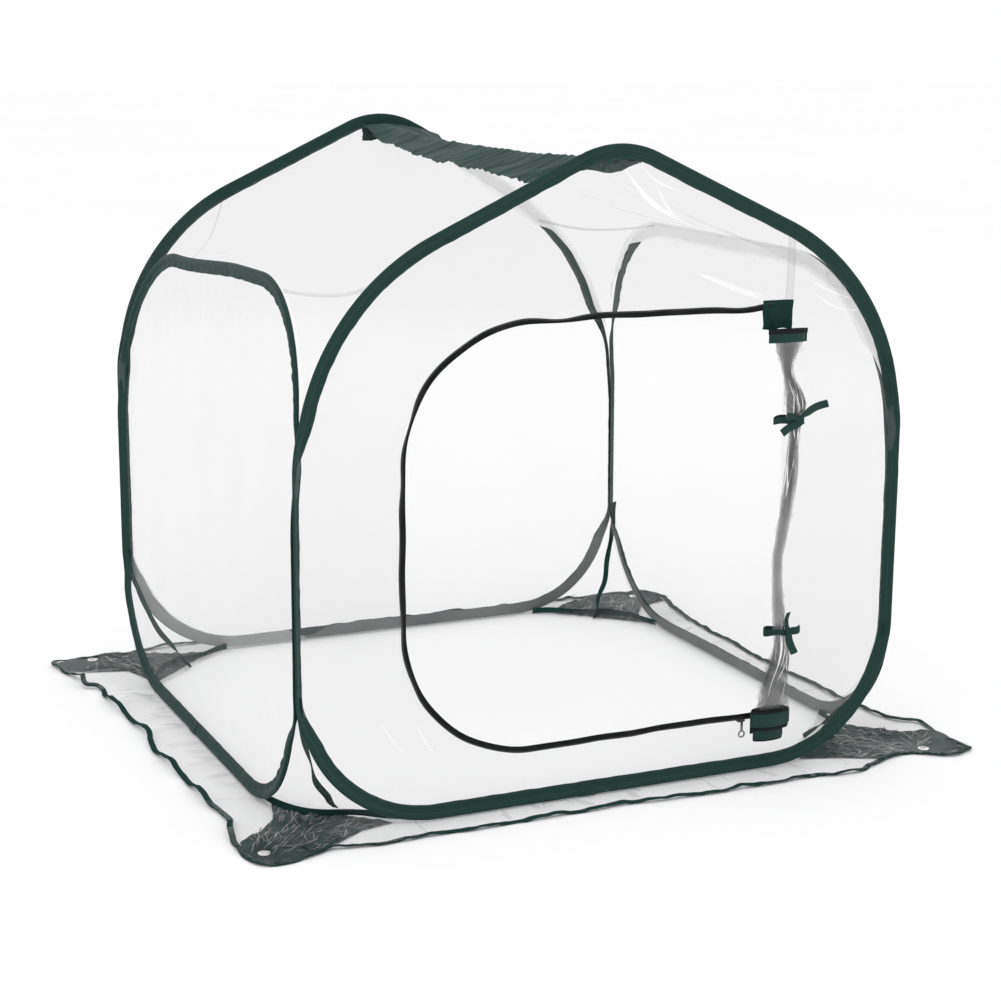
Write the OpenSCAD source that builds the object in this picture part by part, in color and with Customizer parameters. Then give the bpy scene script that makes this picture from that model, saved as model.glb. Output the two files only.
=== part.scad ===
// Mini pop up greenhouse: four sprung hoops in fabric sleeves, hinged to each other at
// the corner seams, with clear film walls, a clear gabled roof and a ground skirt.
// Origin: centre of the footprint on the ground. Front (door) towards -Y, up is +Z.

/* [Overall size] */
// Width between the inner faces of the side panels
width = 1000; // [900:10:1100]
// Depth between the inner faces of the front and back panels
depth = 950; // [850:10:1050]
// Height of the front and back panels at the apex
apex_h = 985; // [950:5:1020]
// Height of the side panels
side_h = 790; // [760:5:800]
// Pitch of the roof edges of the front and back panels, degrees
roof_pitch = 25; // [23:1:27]

/* [Panel outline] */
// Outer radius of every panel's bottom corners
foot_r = 215; // [180:5:230]
// Outer radius of the gable panels' shoulders
shoulder_r = 360; // [320:10:380]
// Outer radius of the gable panels' apex
apex_r = 150; // [100:10:180]
// Outer radius of the side panels' top corners
side_top_r = 250; // [200:10:280]

/* [Hoops and sleeves] */
// Width of the spring steel strip, across the panel
strip_w = 6; // [4:0.5:6]
// Thickness of the spring steel strip
strip_t = 1.2; // [0.8:0.1:1.4]
// Width of the sewn sleeve, in the plane of the panel
sleeve_w = 26; // [20:1:32]
// Thickness of the sleeve, across the panel
sleeve_t = 9; // [8.6:0.1:10]

/* [Film] */
// Thickness of the clear film as modelled
film_t = 0.6; // [0.5:0.1:1]
// Width of the ground skirt along the front and back panels
skirt_front = 70; // [60:5:80]
// Width of the ground skirt along the side panels
skirt_side = 90; // [70:5:100]
// Width of the binding along the skirt's edge
binding_w = 8; // [6:1:10]
// Half width of the ridge strip
ridge_half_w = 75; // [60:5:90]

/* [Door] */
// Left edge of the door opening
door_left = -343; // [-360:1:-320]
// Line of the door's hinge seam
door_seam_x = 291; // [280:1:300]
// Bottom edge of the door opening
door_bottom = 84; // [75:1:95]
// Top edge of the door opening
door_top = 742; // [720:1:750]
// Corner radius of the door opening
door_r = 208; // [150:2:220]
// Width of the zipper tape
zip_w = 12; // [10:1:16]

/* [Corners] */
// How far each corner piece reaches beyond the side panel
ear_x = 130; // [110:5:140]
// Distance from the corner to the foot of its inner gusset
chord = 186; // [170:2:190]
// Height of the inner gusset's tip
gusset_h = 172; // [150:2:190]
// Radius of the peg hole in each grommet
peg_hole_r = 5; // [4:0.5:5.5]

/* [Hidden] */

seam_gap = 0.4;               // from a panel's edge to the corner seam's line
ground_t = 1;                 // thickness of the skirt and the corner pieces
gable_half = width / 2 - seam_gap;
side_half = depth / 2 - seam_gap;
shoulder_x = gable_half - shoulder_r;
apex_z = apex_h - apex_r;
shoulder_z = apex_z + (apex_r - shoulder_r - shoulder_x * sin(roof_pitch)) / cos(roof_pitch);
hoop_in = 3.3;                // from the sleeve's outer edge to the strip
pocket_in = 2.2;              // from the sleeve's outer edge to its pocket
pocket_w = 3.8;               // width of the pocket in the plane of the panel
ferrule_t = 0.9;              // wall of the crimped ferrule
ferrule_l = 34;
mid_t = film_t + sleeve_t / 2;  // height of the strip's centre above the panel's inner face
film_in = 3;                  // from the sleeve's outer edge to the film's edge
foot_z = ground_t;            // every panel stands on the skirt
skirt_top = 180;              // from the corner to the skirt's end, at the panel
skirt_end = 72;               // from the corner to the skirt's end, at the outer edge
ear_end = 68;                 // from the corner to the corner piece's end, at its outer edge
eave_x = 4;                   // from the side panel's inner face to the roof film's eave
eave_z = side_h - 6;
ridge_z = apex_h - 13;
gable_cut = 118;              // from the corner to the roof film, along the gable
eave_cut = 230;               // from the corner to the roof film, along the eave
fabric_t = 1;
coil_r = 1.3;                 // half thickness of the zipper's coil
coil_z = film_t + 0.4;
slider_x = 231;               // rest place of the zipper slider
slider_l = 10;
slider_top = 4.2;             // slider's outer face, from the panel's inner face
bridge_z = slider_top + 3.2;  // pull's pivot, from the panel's inner face
pull_pivot = door_bottom + 1.5; // pull's pivot, above the ground
roll_y = 17;                  // roll's centre, from the panel's inner face
zip_end = 249;                // where the zipper goes under the door's patches
patch_x = [251, 303];         // both ends of the door's patches
patch_top = [709, 742];       // foot and top of the upper patch
patch_bottom = [60, 88];      // foot and top of the lower patch
roll_levels = [94, 150, 205, 250, 400, 540, 584, 630, 655, 682];
roll_x = [275, 280, 294, 287, 289, 298, 306, 289, 287, 286]; // middle at each level
roll_w = [26, 22, 12, 12, 13, 12, 12, 15, 17, 32];           // half width at each level
roll_d = [12, 12, 11, 11, 12, 11, 11, 12, 12, 12];           // half depth at each level
end_top = [286, 682.2];       // middle and foot of the roll's upper end
end_bottom = [269, 56];       // middle and foot of the roll's lower end
tie_high = [302.3, 558];      // middle and foot of the upper tie
tie_low = [290.5, 222];       // middle and foot of the lower tie
grommet_at = [62, 30];        // grommet's centre beyond the corner seam, along X and Y
gusset_in = 4;                // from a panel's inner face to the gusset's edges
gusset_tip = [gusset_in, gusset_in, gusset_h];
gusset_left = [gusset_in, chord, ground_t + 0.4];
gusset_front = [chord, gusset_in, ground_t + 0.4];

green = [0.10, 0.21, 0.19];
clear = [0.92, 0.94, 0.94, 0.35];
black = [0.06, 0.06, 0.06];
steel = [0.62, 0.63, 0.65];

// Points of an arc, from angle a0 to a1 about a centre
function arc(c, r, a0, a1, n) =
  [for (i = [0:n]) c + r * [cos(a0 + (a1 - a0) * i / n), sin(a0 + (a1 - a0) * i / n)]];

// Gable outline, drawn in by d: feet, shoulders and apex as arcs, the rest straight
function gable(d) = let (
    foot = [gable_half - foot_r, foot_z + foot_r],
    right = concat(
      arc(foot, foot_r - d, -90, 0, 14),
      arc([shoulder_x, shoulder_z], shoulder_r - d, 0, 90 - roof_pitch, 14),
      arc([0, apex_z], apex_r - d, 90 - roof_pitch, 90, 5)),
    n = len(right))
  concat(right, [for (i = [n - 2:-1:0]) [-right[i][0], right[i][1]]]);

// Side outline, drawn in by d: a rectangle with rounded corners
function side(d) = let (
    foot = side_half - foot_r, top = side_half - side_top_r,
    foot_c = foot_z + foot_r, top_c = side_h - side_top_r)
  concat(
    arc([foot, foot_c], foot_r - d, -90, 0, 14),
    arc([top, top_c], side_top_r - d, 0, 90, 12),
    arc([-top, top_c], side_top_r - d, 90, 180, 12),
    arc([-foot, foot_c], foot_r - d, 180, 270, 14));

function outline(kind, d) = kind == "gable" ? gable(d) : side(d);

// Door opening drawn out by d, closed on the seam's line
function opening(d) = concat(
  [[door_seam_x, door_bottom - d]],
  arc([door_left + door_r, door_bottom + door_r], door_r + d, 270, 180, 14),
  arc([door_left + door_r, door_top - door_r], door_r + d, 180, 90, 14),
  [[door_seam_x, door_top + d]]);

// Plane of each panel: local X along it, Y up, Z outwards from its inner face
module on_front() { translate([0, -depth / 2, 0]) rotate([90, 0, 0]) children(); }
module on_back() { rotate([0, 0, 180]) on_front() children(); }
module on_left() { translate([-width / 2, 0, 0]) rotate([90, 0, -90]) children(); }
module on_right() { rotate([0, 0, 180]) on_left() children(); }

module layer(z0, z1) { translate([0, 0, z0]) linear_extrude(z1 - z0) children(); }

module ring(kind, d0, d1) {
  difference() { polygon(outline(kind, d0)); polygon(outline(kind, d1)); }
}

// Spring steel strip bent into a closed hoop, its ends meeting inside the ferrule
module hoop(kind) {
  color(steel) difference() {
    layer(mid_t - strip_w / 2, mid_t + strip_w / 2) ring(kind, hoop_in, hoop_in + strip_t);
    translate([-0.5, 0, 0]) cube([1, foot_z + 20, 20]);
  }
}

// Crimped ferrule over the two ends of the strip
module ferrule() {
  gap = 0.05;
  low = foot_z + hoop_in;
  color(steel) difference() {
    translate([-ferrule_l / 2, low - ferrule_t - gap, mid_t - strip_w / 2 - 0.6])
      cube([ferrule_l, strip_t + 2 * ferrule_t + 2 * gap, strip_w + 1.2]);
    translate([-ferrule_l, low - gap, mid_t - strip_w / 2 - gap])
      cube([2 * ferrule_l, strip_t + 2 * gap, strip_w + 2 * gap]);
  }
}

// Fabric sleeve sewn round the hoop
module sleeve(kind) {
  wall = 0.7;
  color(green) difference() {
    layer(film_t, film_t + sleeve_t) ring(kind, 0, sleeve_w);
    layer(film_t + wall, film_t + sleeve_t - wall)
      ring(kind, pocket_in, pocket_in + pocket_w);
  }
}

module film(kind) { color(clear) layer(0, film_t) polygon(outline(kind, film_in)); }

// Flat shape on the ground in a panel's frame: its X along the panel, its Y outwards
module on_ground(t) { rotate([90, 0, 0]) mirror([0, 0, 1]) linear_extrude(t) children(); }

// Clear skirt along the foot of one panel
module skirt(half, w) {
  z1 = w - binding_w;
  color(clear) on_ground(ground_t) polygon([
    [-half + skirt_top, 0], [half - skirt_top, 0],
    [half - skirt_end, z1], [-half + skirt_end, z1]]);
}

// Binding folded over the skirt's outer edge
module binding(half, w) {
  z0 = w - binding_w;
  color(green) on_ground(ground_t + 0.6) polygon([
    [-half + skirt_end, z0], [half - skirt_end, z0],
    [half - skirt_end, w], [-half + skirt_end, w]]);
}

// Corner frame: X and Y run inwards from the corner seam; sx and sy name the corner
module at_corner(sx, sy) {
  mirror(sx > 0 ? [1, 0, 0] : [0, 0, 0]) mirror(sy > 0 ? [0, 1, 0] : [0, 0, 0])
    translate([-width / 2, -depth / 2, 0]) children();
}

// Thin plate on three points, thickened by t along its normal
module plate(a, b, c, t) {
  n = cross(b - a, c - a);
  k = n * (t / norm(n));
  polyhedron([a, b, c, a + k, b + k, c + k],
    [[0, 1, 2], [5, 4, 3], [0, 3, 4, 1], [1, 4, 5, 2], [2, 5, 3, 0]]);
}

// Clear triangle that closes the gap between two panels' rounded feet
module foot_gusset() {
  color(clear) plate(gusset_tip, gusset_left, gusset_front, 0.5);
}

// Fabric tape along the gusset's foot and up its middle seam
module gusset_tape() {
  low = gusset_left[2];
  mid = (gusset_left + gusset_front) / 2;
  rise = gusset_tip - mid;
  foot = norm(gusset_front - gusset_left);
  tape_t = 0.8;
  color(green) {
    translate(gusset_front) rotate([0, 0, 135]) translate([6, -1 - tape_t, 0])
      cube([foot - 12, tape_t, 8]);
    translate(mid) rotate([0, 0, 45]) rotate([0, -atan2(norm([rise[0], rise[1]]), rise[2]), 0])
      translate([0.4, -3, 0]) cube([tape_t, 6, norm(rise) - 20]);
  }
}

// Outline of a corner piece, drawn in by d
function ear(d) = [
  [chord - 12, -2], [ear_end, d - skirt_front], [d - 0.5 * ear_x, d - skirt_front],
  [d - ear_x, d - 0.62 * skirt_front], [d - ear_x, 0.1 * skirt_front],
  [d - skirt_side, ear_end], [-2, chord - 12]];

// Fabric patch under the film at a corner, with a hole for its grommet
module corner_patch() {
  color(green) linear_extrude(ground_t) difference() {
    polygon(concat(ear(binding_w), [[5, chord - 8], [chord - 8, 5]]));
    translate(-grommet_at) circle(peg_hole_r + 1, $fn = 32);
  }
}

// Binding round a corner piece's outer edge
module corner_binding() {
  color(green) linear_extrude(ground_t + 0.6) polygon(concat(
    [for (i = [1:5]) ear(0)[i]], [for (i = [5:-1:1]) ear(binding_w)[i]]));
}

// Metal eyelet set in a corner piece
module grommet() {
  wall = 0.7;
  color(steel) translate([-grommet_at[0], -grommet_at[1], 0]) rotate_extrude($fn = 48)
    polygon([[peg_hole_r, 0], [peg_hole_r + wall, 0], [peg_hole_r + wall, ground_t],
      [peg_hole_r + 4.5, ground_t], [peg_hole_r + 4.2, ground_t + 0.7],
      [peg_hole_r + 1, ground_t + 1.2], [peg_hole_r, ground_t + 1.2]]);
}

module grommets(sy) { for (sx = [-1, 1]) at_corner(sx, sy) grommet(); }

// Clear triangle between a gable's shoulder, a side panel's top corner and the eave
module top_gusset() {
  color(clear) plate([4, 4, shoulder_z + 20], [gable_cut - 5, 4, side_h + 4],
    [4, eave_cut - 5, eave_z - 6], 0.5);
}

// Clear roof slope from the ridge to one eave, its corners cut off along the eave seams
module roof_film() {
  run = width / 2 - eave_x - 0.5;
  slope = atan2(ridge_z - eave_z, run);
  len = norm([ridge_z - eave_z, run]);
  cut = (width / 2 - gable_cut) * len / run;
  y = depth / 2 - 0.6;
  color(clear) translate([-0.5, 0, ridge_z]) rotate([0, -slope, 0]) mirror([1, 0, 0])
    linear_extrude(film_t) polygon([[0, -y], [cut, -y], [len, -depth / 2 + eave_cut],
      [len, depth / 2 - eave_cut], [cut, y], [0, y]]);
}

// Green fabric strip folded over the ridge
module ridge_strip() {
  slope = (ridge_z - eave_z) / (width / 2);
  drop = ridge_half_w * slope;
  low = ridge_z + film_t + 0.4;
  y = depth / 2 - 0.6;
  color(green) translate([0, y, 0]) rotate([90, 0, 0]) linear_extrude(2 * y) polygon([
    [0, low], [ridge_half_w, low - drop], [ridge_half_w, low - drop + fabric_t],
    [0, low + fabric_t], [-ridge_half_w, low - drop + fabric_t],
    [-ridge_half_w, low - drop]]);
}

module front_film() {
  color(clear) on_front() layer(0, film_t) difference() {
    polygon(gable(film_in));
    polygon(opening(2.6));
  }
}

// Zipper tape with its coil along the door opening's edge
module zipper_tape() {
  color(black) on_front() difference() {
    union() {
      layer(film_t, film_t + 0.8) difference() {
        polygon(opening(zip_w));
        polygon(opening(-0.6));
      }
      layer(coil_z - coil_r, coil_z + coil_r) difference() {
        polygon(opening(1.3));
        polygon(opening(-1.3));
      }
    }
    translate([zip_end, 0, -5]) cube([door_seam_x - zip_end + 5, apex_h, 20]);
  }
}

// Slider's body with the slot that the coil runs in, and the bridge for its pull
module zipper_slider() {
  z = door_bottom;
  color(black) on_front() translate([slider_x - slider_l / 2, 0, 0]) {
    difference() {
      translate([0, z - 2, -2.4]) cube([slider_l, 8, slider_top + 2.4]);
      translate([-1, z - 3, coil_z - coil_r - 0.5])
        cube([slider_l + 2, 4.9, 2 * coil_r + 1]);
    }
    for (x = [0, slider_l - 1.5])
      translate([x, pull_pivot - 1.5, slider_top - 0.01])
        cube([1.5, 3, bridge_z - slider_top + 1]);
    translate([0, pull_pivot, bridge_z]) rotate([0, 90, 0])
      cylinder(h = slider_l, r = 0.8, $fn = 24);
  }
}

// Stamped pull hanging from the bridge, ending in a ring
module zipper_pull() {
  t = 1.2;
  ring_c = [0, -22];
  color(steel) on_front() translate([slider_x, pull_pivot, bridge_z]) {
    rotate([0, 90, 0]) translate([0, 0, -2]) difference() {
      cylinder(h = 4, r = 2.2, $fn = 32);
      translate([0, 0, -1]) cylinder(h = 6, r = 0.87, $fn = 32);
    }
    translate([-2, -17, -t / 2]) cube([4, 15.2, t]);
    translate([ring_c[0], ring_c[1], -t / 2]) difference() {
      cylinder(h = t, r = 6, $fn = 40);
      translate([0, 0, -1]) cylinder(h = t + 2, r = 3.8, $fn = 40);
    }
  }
}

// Reinforcing patches where the zipper's ends meet the hinge seam
module door_patch(span) {
  color(green) on_front() translate([patch_x[0], span[0], film_t])
    cube([patch_x[1] - patch_x[0], span[1] - span[0], 0.8]);
}

// Upright lens shaped solid: half width, half depth and height
module roll_piece(x, z0, h, w, d) {
  on_front() translate([x, z0, roll_y]) rotate([-90, 0, 0]) linear_extrude(h)
    scale([w / 10, d / 10]) circle(10, $fn = 40);
}

// Door film rolled up beside its seam
module door_roll() {
  sides = 24;
  n = len(roll_levels);
  pts = [for (i = [0:n - 1]) for (j = [0:sides - 1])
    [roll_x[i] + roll_w[i] * cos(360 * j / sides),
     -depth / 2 - roll_y - roll_d[i] * sin(360 * j / sides), roll_levels[i]]];
  walls = [for (i = [0:n - 2]) for (j = [0:sides - 1])
    let (k = (j + 1) % sides)
      [i * sides + j, i * sides + k, (i + 1) * sides + k, (i + 1) * sides + j]];
  color(clear) polyhedron(pts, concat(walls,
    [[for (j = [sides - 1:-1:0]) j]], [[for (j = [0:sides - 1]) (n - 1) * sides + j]]));
}

// Rolled end of the door: zipper tape wound with its fabric patch
module door_end(at, h, w) { color(green) roll_piece(at[0], at[1], h, w, 13.5); }

// Ribbon tied round the roll, with its knot and two tails
module tie(at, tail_up) {
  x = at[0];
  z0 = at[1];
  h = 10;
  out = roll_y + 15;
  color(green) {
    difference() {
      roll_piece(x, z0, h, 15.2, 13.6);
      roll_piece(x, z0 - 1, h + 2, 14.3, 12.7);
    }
    on_front() translate([x - 4, z0 - 1, out - 2.2]) cube([14, 12, 5]);
    on_front() translate([x + 8, z0 + 2, out]) rotate([0, 0, tail_up]) cube([26, 9, 1]);
    on_front() translate([x - 32, z0 - 7, out]) rotate([0, 0, 14]) cube([32, 9, 1]);
  }
}

on_front() hoop("gable");  // front_hoop
on_front() ferrule();  // front_ferrule
on_front() sleeve("gable");  // front_sleeve
front_film();
on_front() skirt(width / 2, skirt_front);  // front_skirt
on_front() binding(width / 2, skirt_front);  // front_binding
on_left() hoop("side");  // left_hoop
on_left() ferrule();  // left_ferrule
on_left() sleeve("side");  // left_sleeve
on_left() film("side");  // left_film
on_left() skirt(depth / 2, skirt_side);  // left_skirt
on_left() binding(depth / 2, skirt_side);  // left_binding
on_right() hoop("side");  // right_hoop
on_right() ferrule();  // right_ferrule
on_right() sleeve("side");  // right_sleeve
on_right() film("side");  // right_film
on_right() skirt(depth / 2, skirt_side);  // right_skirt
on_right() binding(depth / 2, skirt_side);  // right_binding
on_back() hoop("gable");  // back_hoop
on_back() ferrule();  // back_ferrule
on_back() sleeve("gable");  // back_sleeve
on_back() film("gable");  // back_film
on_back() skirt(width / 2, skirt_front);  // back_skirt
on_back() binding(width / 2, skirt_front);  // back_binding
roof_film();  // roof_film_left
mirror([1, 0, 0]) roof_film();  // roof_film_right
ridge_strip();
at_corner(-1, -1) top_gusset();  // top_gusset_fl
at_corner(1, -1) top_gusset();  // top_gusset_fr
at_corner(-1, 1) top_gusset();  // top_gusset_bl
at_corner(1, 1) top_gusset();  // top_gusset_br
at_corner(-1, -1) foot_gusset();  // foot_gusset_fl
at_corner(1, -1) foot_gusset();  // foot_gusset_fr
at_corner(-1, 1) foot_gusset();  // foot_gusset_bl
at_corner(1, 1) foot_gusset();  // foot_gusset_br
at_corner(-1, -1) gusset_tape();  // gusset_tape_fl
at_corner(1, -1) gusset_tape();  // gusset_tape_fr
at_corner(-1, 1) gusset_tape();  // gusset_tape_bl
at_corner(1, 1) gusset_tape();  // gusset_tape_br
at_corner(-1, -1) corner_patch();  // corner_patch_fl
at_corner(1, -1) corner_patch();  // corner_patch_fr
at_corner(-1, 1) corner_patch();  // corner_patch_bl
at_corner(1, 1) corner_patch();  // corner_patch_br
at_corner(-1, -1) corner_binding();  // corner_binding_fl
at_corner(1, -1) corner_binding();  // corner_binding_fr
at_corner(-1, 1) corner_binding();  // corner_binding_bl
at_corner(1, 1) corner_binding();  // corner_binding_br
grommets(-1);  // front_grommets
grommets(1);  // back_grommets
zipper_tape();
zipper_slider();
zipper_pull();
door_patch(patch_top);  // door_patch_top
door_patch(patch_bottom);  // door_patch_bottom
door_roll();
door_end(end_top, 20, 34);  // door_end_top
door_end(end_bottom, 37.8, 27);  // door_end_bottom
tie(tie_high, 22);  // tie_upper
tie(tie_low, -50);  // tie_lower
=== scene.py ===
import math

import bpy
import numpy as np
from mathutils import Matrix, Vector
from mathutils.geometry import delaunay_2d_cdt

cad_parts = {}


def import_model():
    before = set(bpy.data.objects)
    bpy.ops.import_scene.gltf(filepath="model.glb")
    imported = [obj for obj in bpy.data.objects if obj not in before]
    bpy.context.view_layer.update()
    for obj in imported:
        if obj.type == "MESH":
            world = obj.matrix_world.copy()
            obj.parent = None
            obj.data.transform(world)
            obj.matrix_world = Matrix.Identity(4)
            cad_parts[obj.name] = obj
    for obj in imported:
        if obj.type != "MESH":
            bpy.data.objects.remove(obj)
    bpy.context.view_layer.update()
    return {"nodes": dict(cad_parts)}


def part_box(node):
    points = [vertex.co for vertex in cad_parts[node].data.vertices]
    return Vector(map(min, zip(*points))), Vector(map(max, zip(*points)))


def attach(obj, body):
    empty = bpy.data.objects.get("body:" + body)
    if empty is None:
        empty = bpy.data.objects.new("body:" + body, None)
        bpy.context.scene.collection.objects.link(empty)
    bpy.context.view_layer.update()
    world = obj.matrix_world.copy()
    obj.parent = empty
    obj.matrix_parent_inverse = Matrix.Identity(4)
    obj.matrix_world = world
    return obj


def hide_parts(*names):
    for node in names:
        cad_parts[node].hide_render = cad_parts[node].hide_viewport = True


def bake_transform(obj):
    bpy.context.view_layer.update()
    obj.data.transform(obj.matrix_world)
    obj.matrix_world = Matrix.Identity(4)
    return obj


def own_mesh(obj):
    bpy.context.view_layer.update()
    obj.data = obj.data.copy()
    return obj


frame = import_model()

# A pop up greenhouse: film walls and roof on four sprung hoops in fabric sleeves. Metres.
MM = 0.001
HALF_W = 0.5                              # to the side panels' inner faces
HALF_D = 0.475                            # to the front and back panels' inner faces
GABLE_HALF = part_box("front_sleeve")[1].x  # half width of a gable panel
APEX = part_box("front_sleeve")[1].z
SIDE_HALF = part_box("left_sleeve")[1].y
SIDE_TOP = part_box("left_sleeve")[1].z
FOOT_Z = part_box("front_sleeve")[0].z
FOOT_R, SHOULDER_R, APEX_R, SIDE_TOP_R = 0.215, 0.36, 0.15, 0.25
LEAN = 0.046                              # how far the roof pulls a side panel's top in
PITCH = 25.0                              # of the gables' roof edges, degrees
SLEEVE_W = 0.0225
FILM_IN = 0.003                           # a wall film's edge, inwards from its panel's
KIND = {"front": "gable", "back": "gable", "left": "side", "right": "side"}
DOOR_LEFT, DOOR_BOTTOM, DOOR_TOP, DOOR_R = -0.343, 0.084, 0.742, 0.208
DOOR_SEAM = 0.291                         # line of the door's hinge seam
ROLL_OUT = 0.017                          # rolled door's centre, from the panel's inner face
GROMMET = (-0.062, -0.030)                # eyelet's centre, inwards from its corner


# ---- camera -----------------------------------------------------------------------------

def add_camera():
    """Camera fitted to the outline in the photo."""
    yaw, pitch, roll = (math.radians(a) for a in (24.1, 12.8, 0.3))
    data = bpy.data.cameras.new("camera")
    data.sensor_width = 36
    data.lens = 76.85
    data.shift_x, data.shift_y = 0.0105, -0.0035
    camera = bpy.data.objects.new("camera", data)
    bpy.context.scene.collection.objects.link(camera)
    turn = Matrix.Rotation(-yaw, 4, "Z") @ Matrix.Rotation(math.pi / 2 - pitch, 4, "X")
    camera.matrix_world = (Matrix.Translation((-1.434, -3.233, 1.168))
                           @ turn @ Matrix.Rotation(roll, 4, "Z"))
    bpy.context.scene.camera = camera


# ---- curves, noise and meshes -----------------------------------------------------------

def smooth(t):
    """Eases from 0 to 1 while t goes from 0 to 1."""
    t = np.clip(t, 0, 1)
    return t * t * (3 - 2 * t)


def unit(v):
    return v / np.maximum(np.linalg.norm(v, axis=-1, keepdims=True), 1e-12)


def right_of(along):
    """Flat directions to the right of the directions given."""
    return np.stack([along[:, 1], -along[:, 0]], 1)


def arc(x, z, r, start, end, steps=40):
    """Points of an arc round (x, z), from one angle to the other in degrees."""
    t = np.radians(np.linspace(start, end, steps + 1))
    return np.stack([x + r * np.cos(t), z + r * np.sin(t)], 1)


def between(at, run, points, period=None):
    """Points at the given runs along a line whose own points lie at the runs given."""
    return np.stack([np.interp(at, run, points[:, k], period=period)
                     for k in range(points.shape[1])], 1)


def lengths(points):
    """How far along a polyline each of its points lies."""
    return np.r_[0, np.cumsum(np.linalg.norm(np.diff(points, axis=0), axis=1))]


def even(points, step):
    """Points about a step apart along a polyline, its ends among them."""
    p = np.asarray(points, float)
    run = lengths(p)
    at = np.linspace(0, run[-1], max(2, int(round(run[-1] / step)) + 1))
    return between(at, run, p)


def curve(points, step):
    """Smooth curve through the points, about a step apart."""
    p = np.asarray(points, float)
    run = lengths(p)
    slope = np.gradient(p, run, axis=0)
    at = np.linspace(0, run[-1], max(2, int(round(run[-1] / step)) + 1))
    i = np.clip(np.searchsorted(run, at, "right") - 1, 0, len(run) - 2)
    h = (run[i + 1] - run[i])[:, None]
    f = (at - run[i])[:, None] / h
    return ((1 + 2 * f) * (1 - f) ** 2 * p[i] + f * (1 - f) ** 2 * h * slope[i]
            + f * f * (3 - 2 * f) * p[i + 1] + f * f * (f - 1) * h * slope[i + 1])


def waves(seed, count, short, long, heading=None, spread=math.pi):
    """Smooth random height, about -1 to 1, as a function of one or two coordinates."""
    rng = np.random.default_rng(seed)
    k = 2 * math.pi / np.exp(rng.uniform(math.log(short), math.log(long), count))
    turn = (heading or 0.0) + rng.uniform(-spread / 2, spread / 2, count)
    phase = rng.uniform(0, 2 * math.pi, count)

    def height(u, v=0.0):
        total = 0
        for a, b, c in zip(k, turn, phase):
            total = total + np.sin(a * (u * math.cos(b) + v * math.sin(b)) + c)
        return total / math.sqrt(count)
    return height


def quads(rows, cols, wrap=False):
    """Faces of a grid of rows x cols points; wrap joins the last row to the first."""
    i, j = np.meshgrid(np.arange(rows if wrap else rows - 1), np.arange(cols - 1),
                       indexing="ij")
    k = (i + 1) % rows
    corners = [i * cols + j, k * cols + j, k * cols + j + 1, i * cols + j + 1]
    return np.stack(corners, -1).reshape(-1, 4)


def sheet_grid(grid, wrap=False):
    """Open sheet through a grid of rows x cols points."""
    rows, cols = grid.shape[:2]
    return grid.reshape(-1, 3), quads(rows, cols, wrap)


def slab(grid, thick, wrap=False):
    """Closed thin solid round a grid of rows x cols points."""
    rows, cols = grid.shape[:2]
    if wrap:
        along = np.roll(grid, -1, 0) - np.roll(grid, 1, 0)
    else:
        along = np.gradient(grid, axis=0)
    normal = unit(np.cross(along, np.gradient(grid, axis=1)))
    points = np.concatenate([(grid + normal * thick / 2).reshape(-1, 3),
                             (grid - normal * thick / 2).reshape(-1, 3)])
    n = rows * cols
    top = quads(rows, cols, wrap)
    faces = [top, top[:, ::-1] + n]
    r = np.arange(rows if wrap else rows - 1)
    s = (r + 1) % rows
    for c, flip in ((0, 1), (cols - 1, -1)):
        side = np.stack([r * cols + c, r * cols + c + n, s * cols + c + n, s * cols + c], 1)
        faces.append(side[:, ::flip])
    if not wrap:
        c = np.arange(cols - 1)
        for r0, flip in ((0, -1), ((rows - 1) * cols, 1)):
            side = np.stack([r0 + c, r0 + c + n, r0 + c + 1 + n, r0 + c + 1], 1)
            faces.append(side[:, ::flip])
    return points, np.concatenate(faces)


def band(path, across, width, thick, offsets=(-0.5, 0, 0.5), wrap=False):
    """Ribbon along a path, its width along the across directions."""
    grid = np.stack([path + across * (width * o) for o in offsets], 1)
    return slab(grid, thick, wrap)


def boxes(centres, along, across, size):
    """Small boxes at centres; size is their length, width and height."""
    up = unit(np.cross(along, across))
    points = []
    for i, j, k in ((-1, -1, -1), (1, -1, -1), (1, 1, -1), (-1, 1, -1),
                    (-1, -1, 1), (1, -1, 1), (1, 1, 1), (-1, 1, 1)):
        points.append(centres + along * (i * size[0] / 2) + across * (j * size[1] / 2)
                      + up * (k * size[2] / 2))
    cube = np.array([(3, 2, 1, 0), (4, 5, 6, 7), (0, 1, 5, 4), (1, 2, 6, 5),
                     (2, 3, 7, 6), (3, 0, 4, 7)])
    n = len(centres)
    faces = (cube[None] + 8 * np.arange(n)[:, None, None]).reshape(-1, 4)
    return np.stack(points, 1).reshape(-1, 3), faces


def area_of(loop):
    """Area inside a closed loop of flat points."""
    return 0.5 * abs(np.sum(loop[:, 0] * np.roll(loop[:, 1], -1)
                            - np.roll(loop[:, 0], -1) * loop[:, 1]))


def marked(here):
    """Indices of the one stretch of a closed loop's points that is marked, in order."""
    index = np.flatnonzero(here)
    split = np.flatnonzero(np.diff(index) > 1)
    if len(split):
        index = np.r_[index[split[0] + 1:], index[:split[0] + 1]]
    return index


def joined(*parts):
    """One shape from several."""
    points, faces, base = [], [], 0
    for p, f in parts:
        points.append(p)
        faces += [[int(i) + base for i in face] for face in f]
        base += len(p)
    return np.concatenate(points), faces


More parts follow.
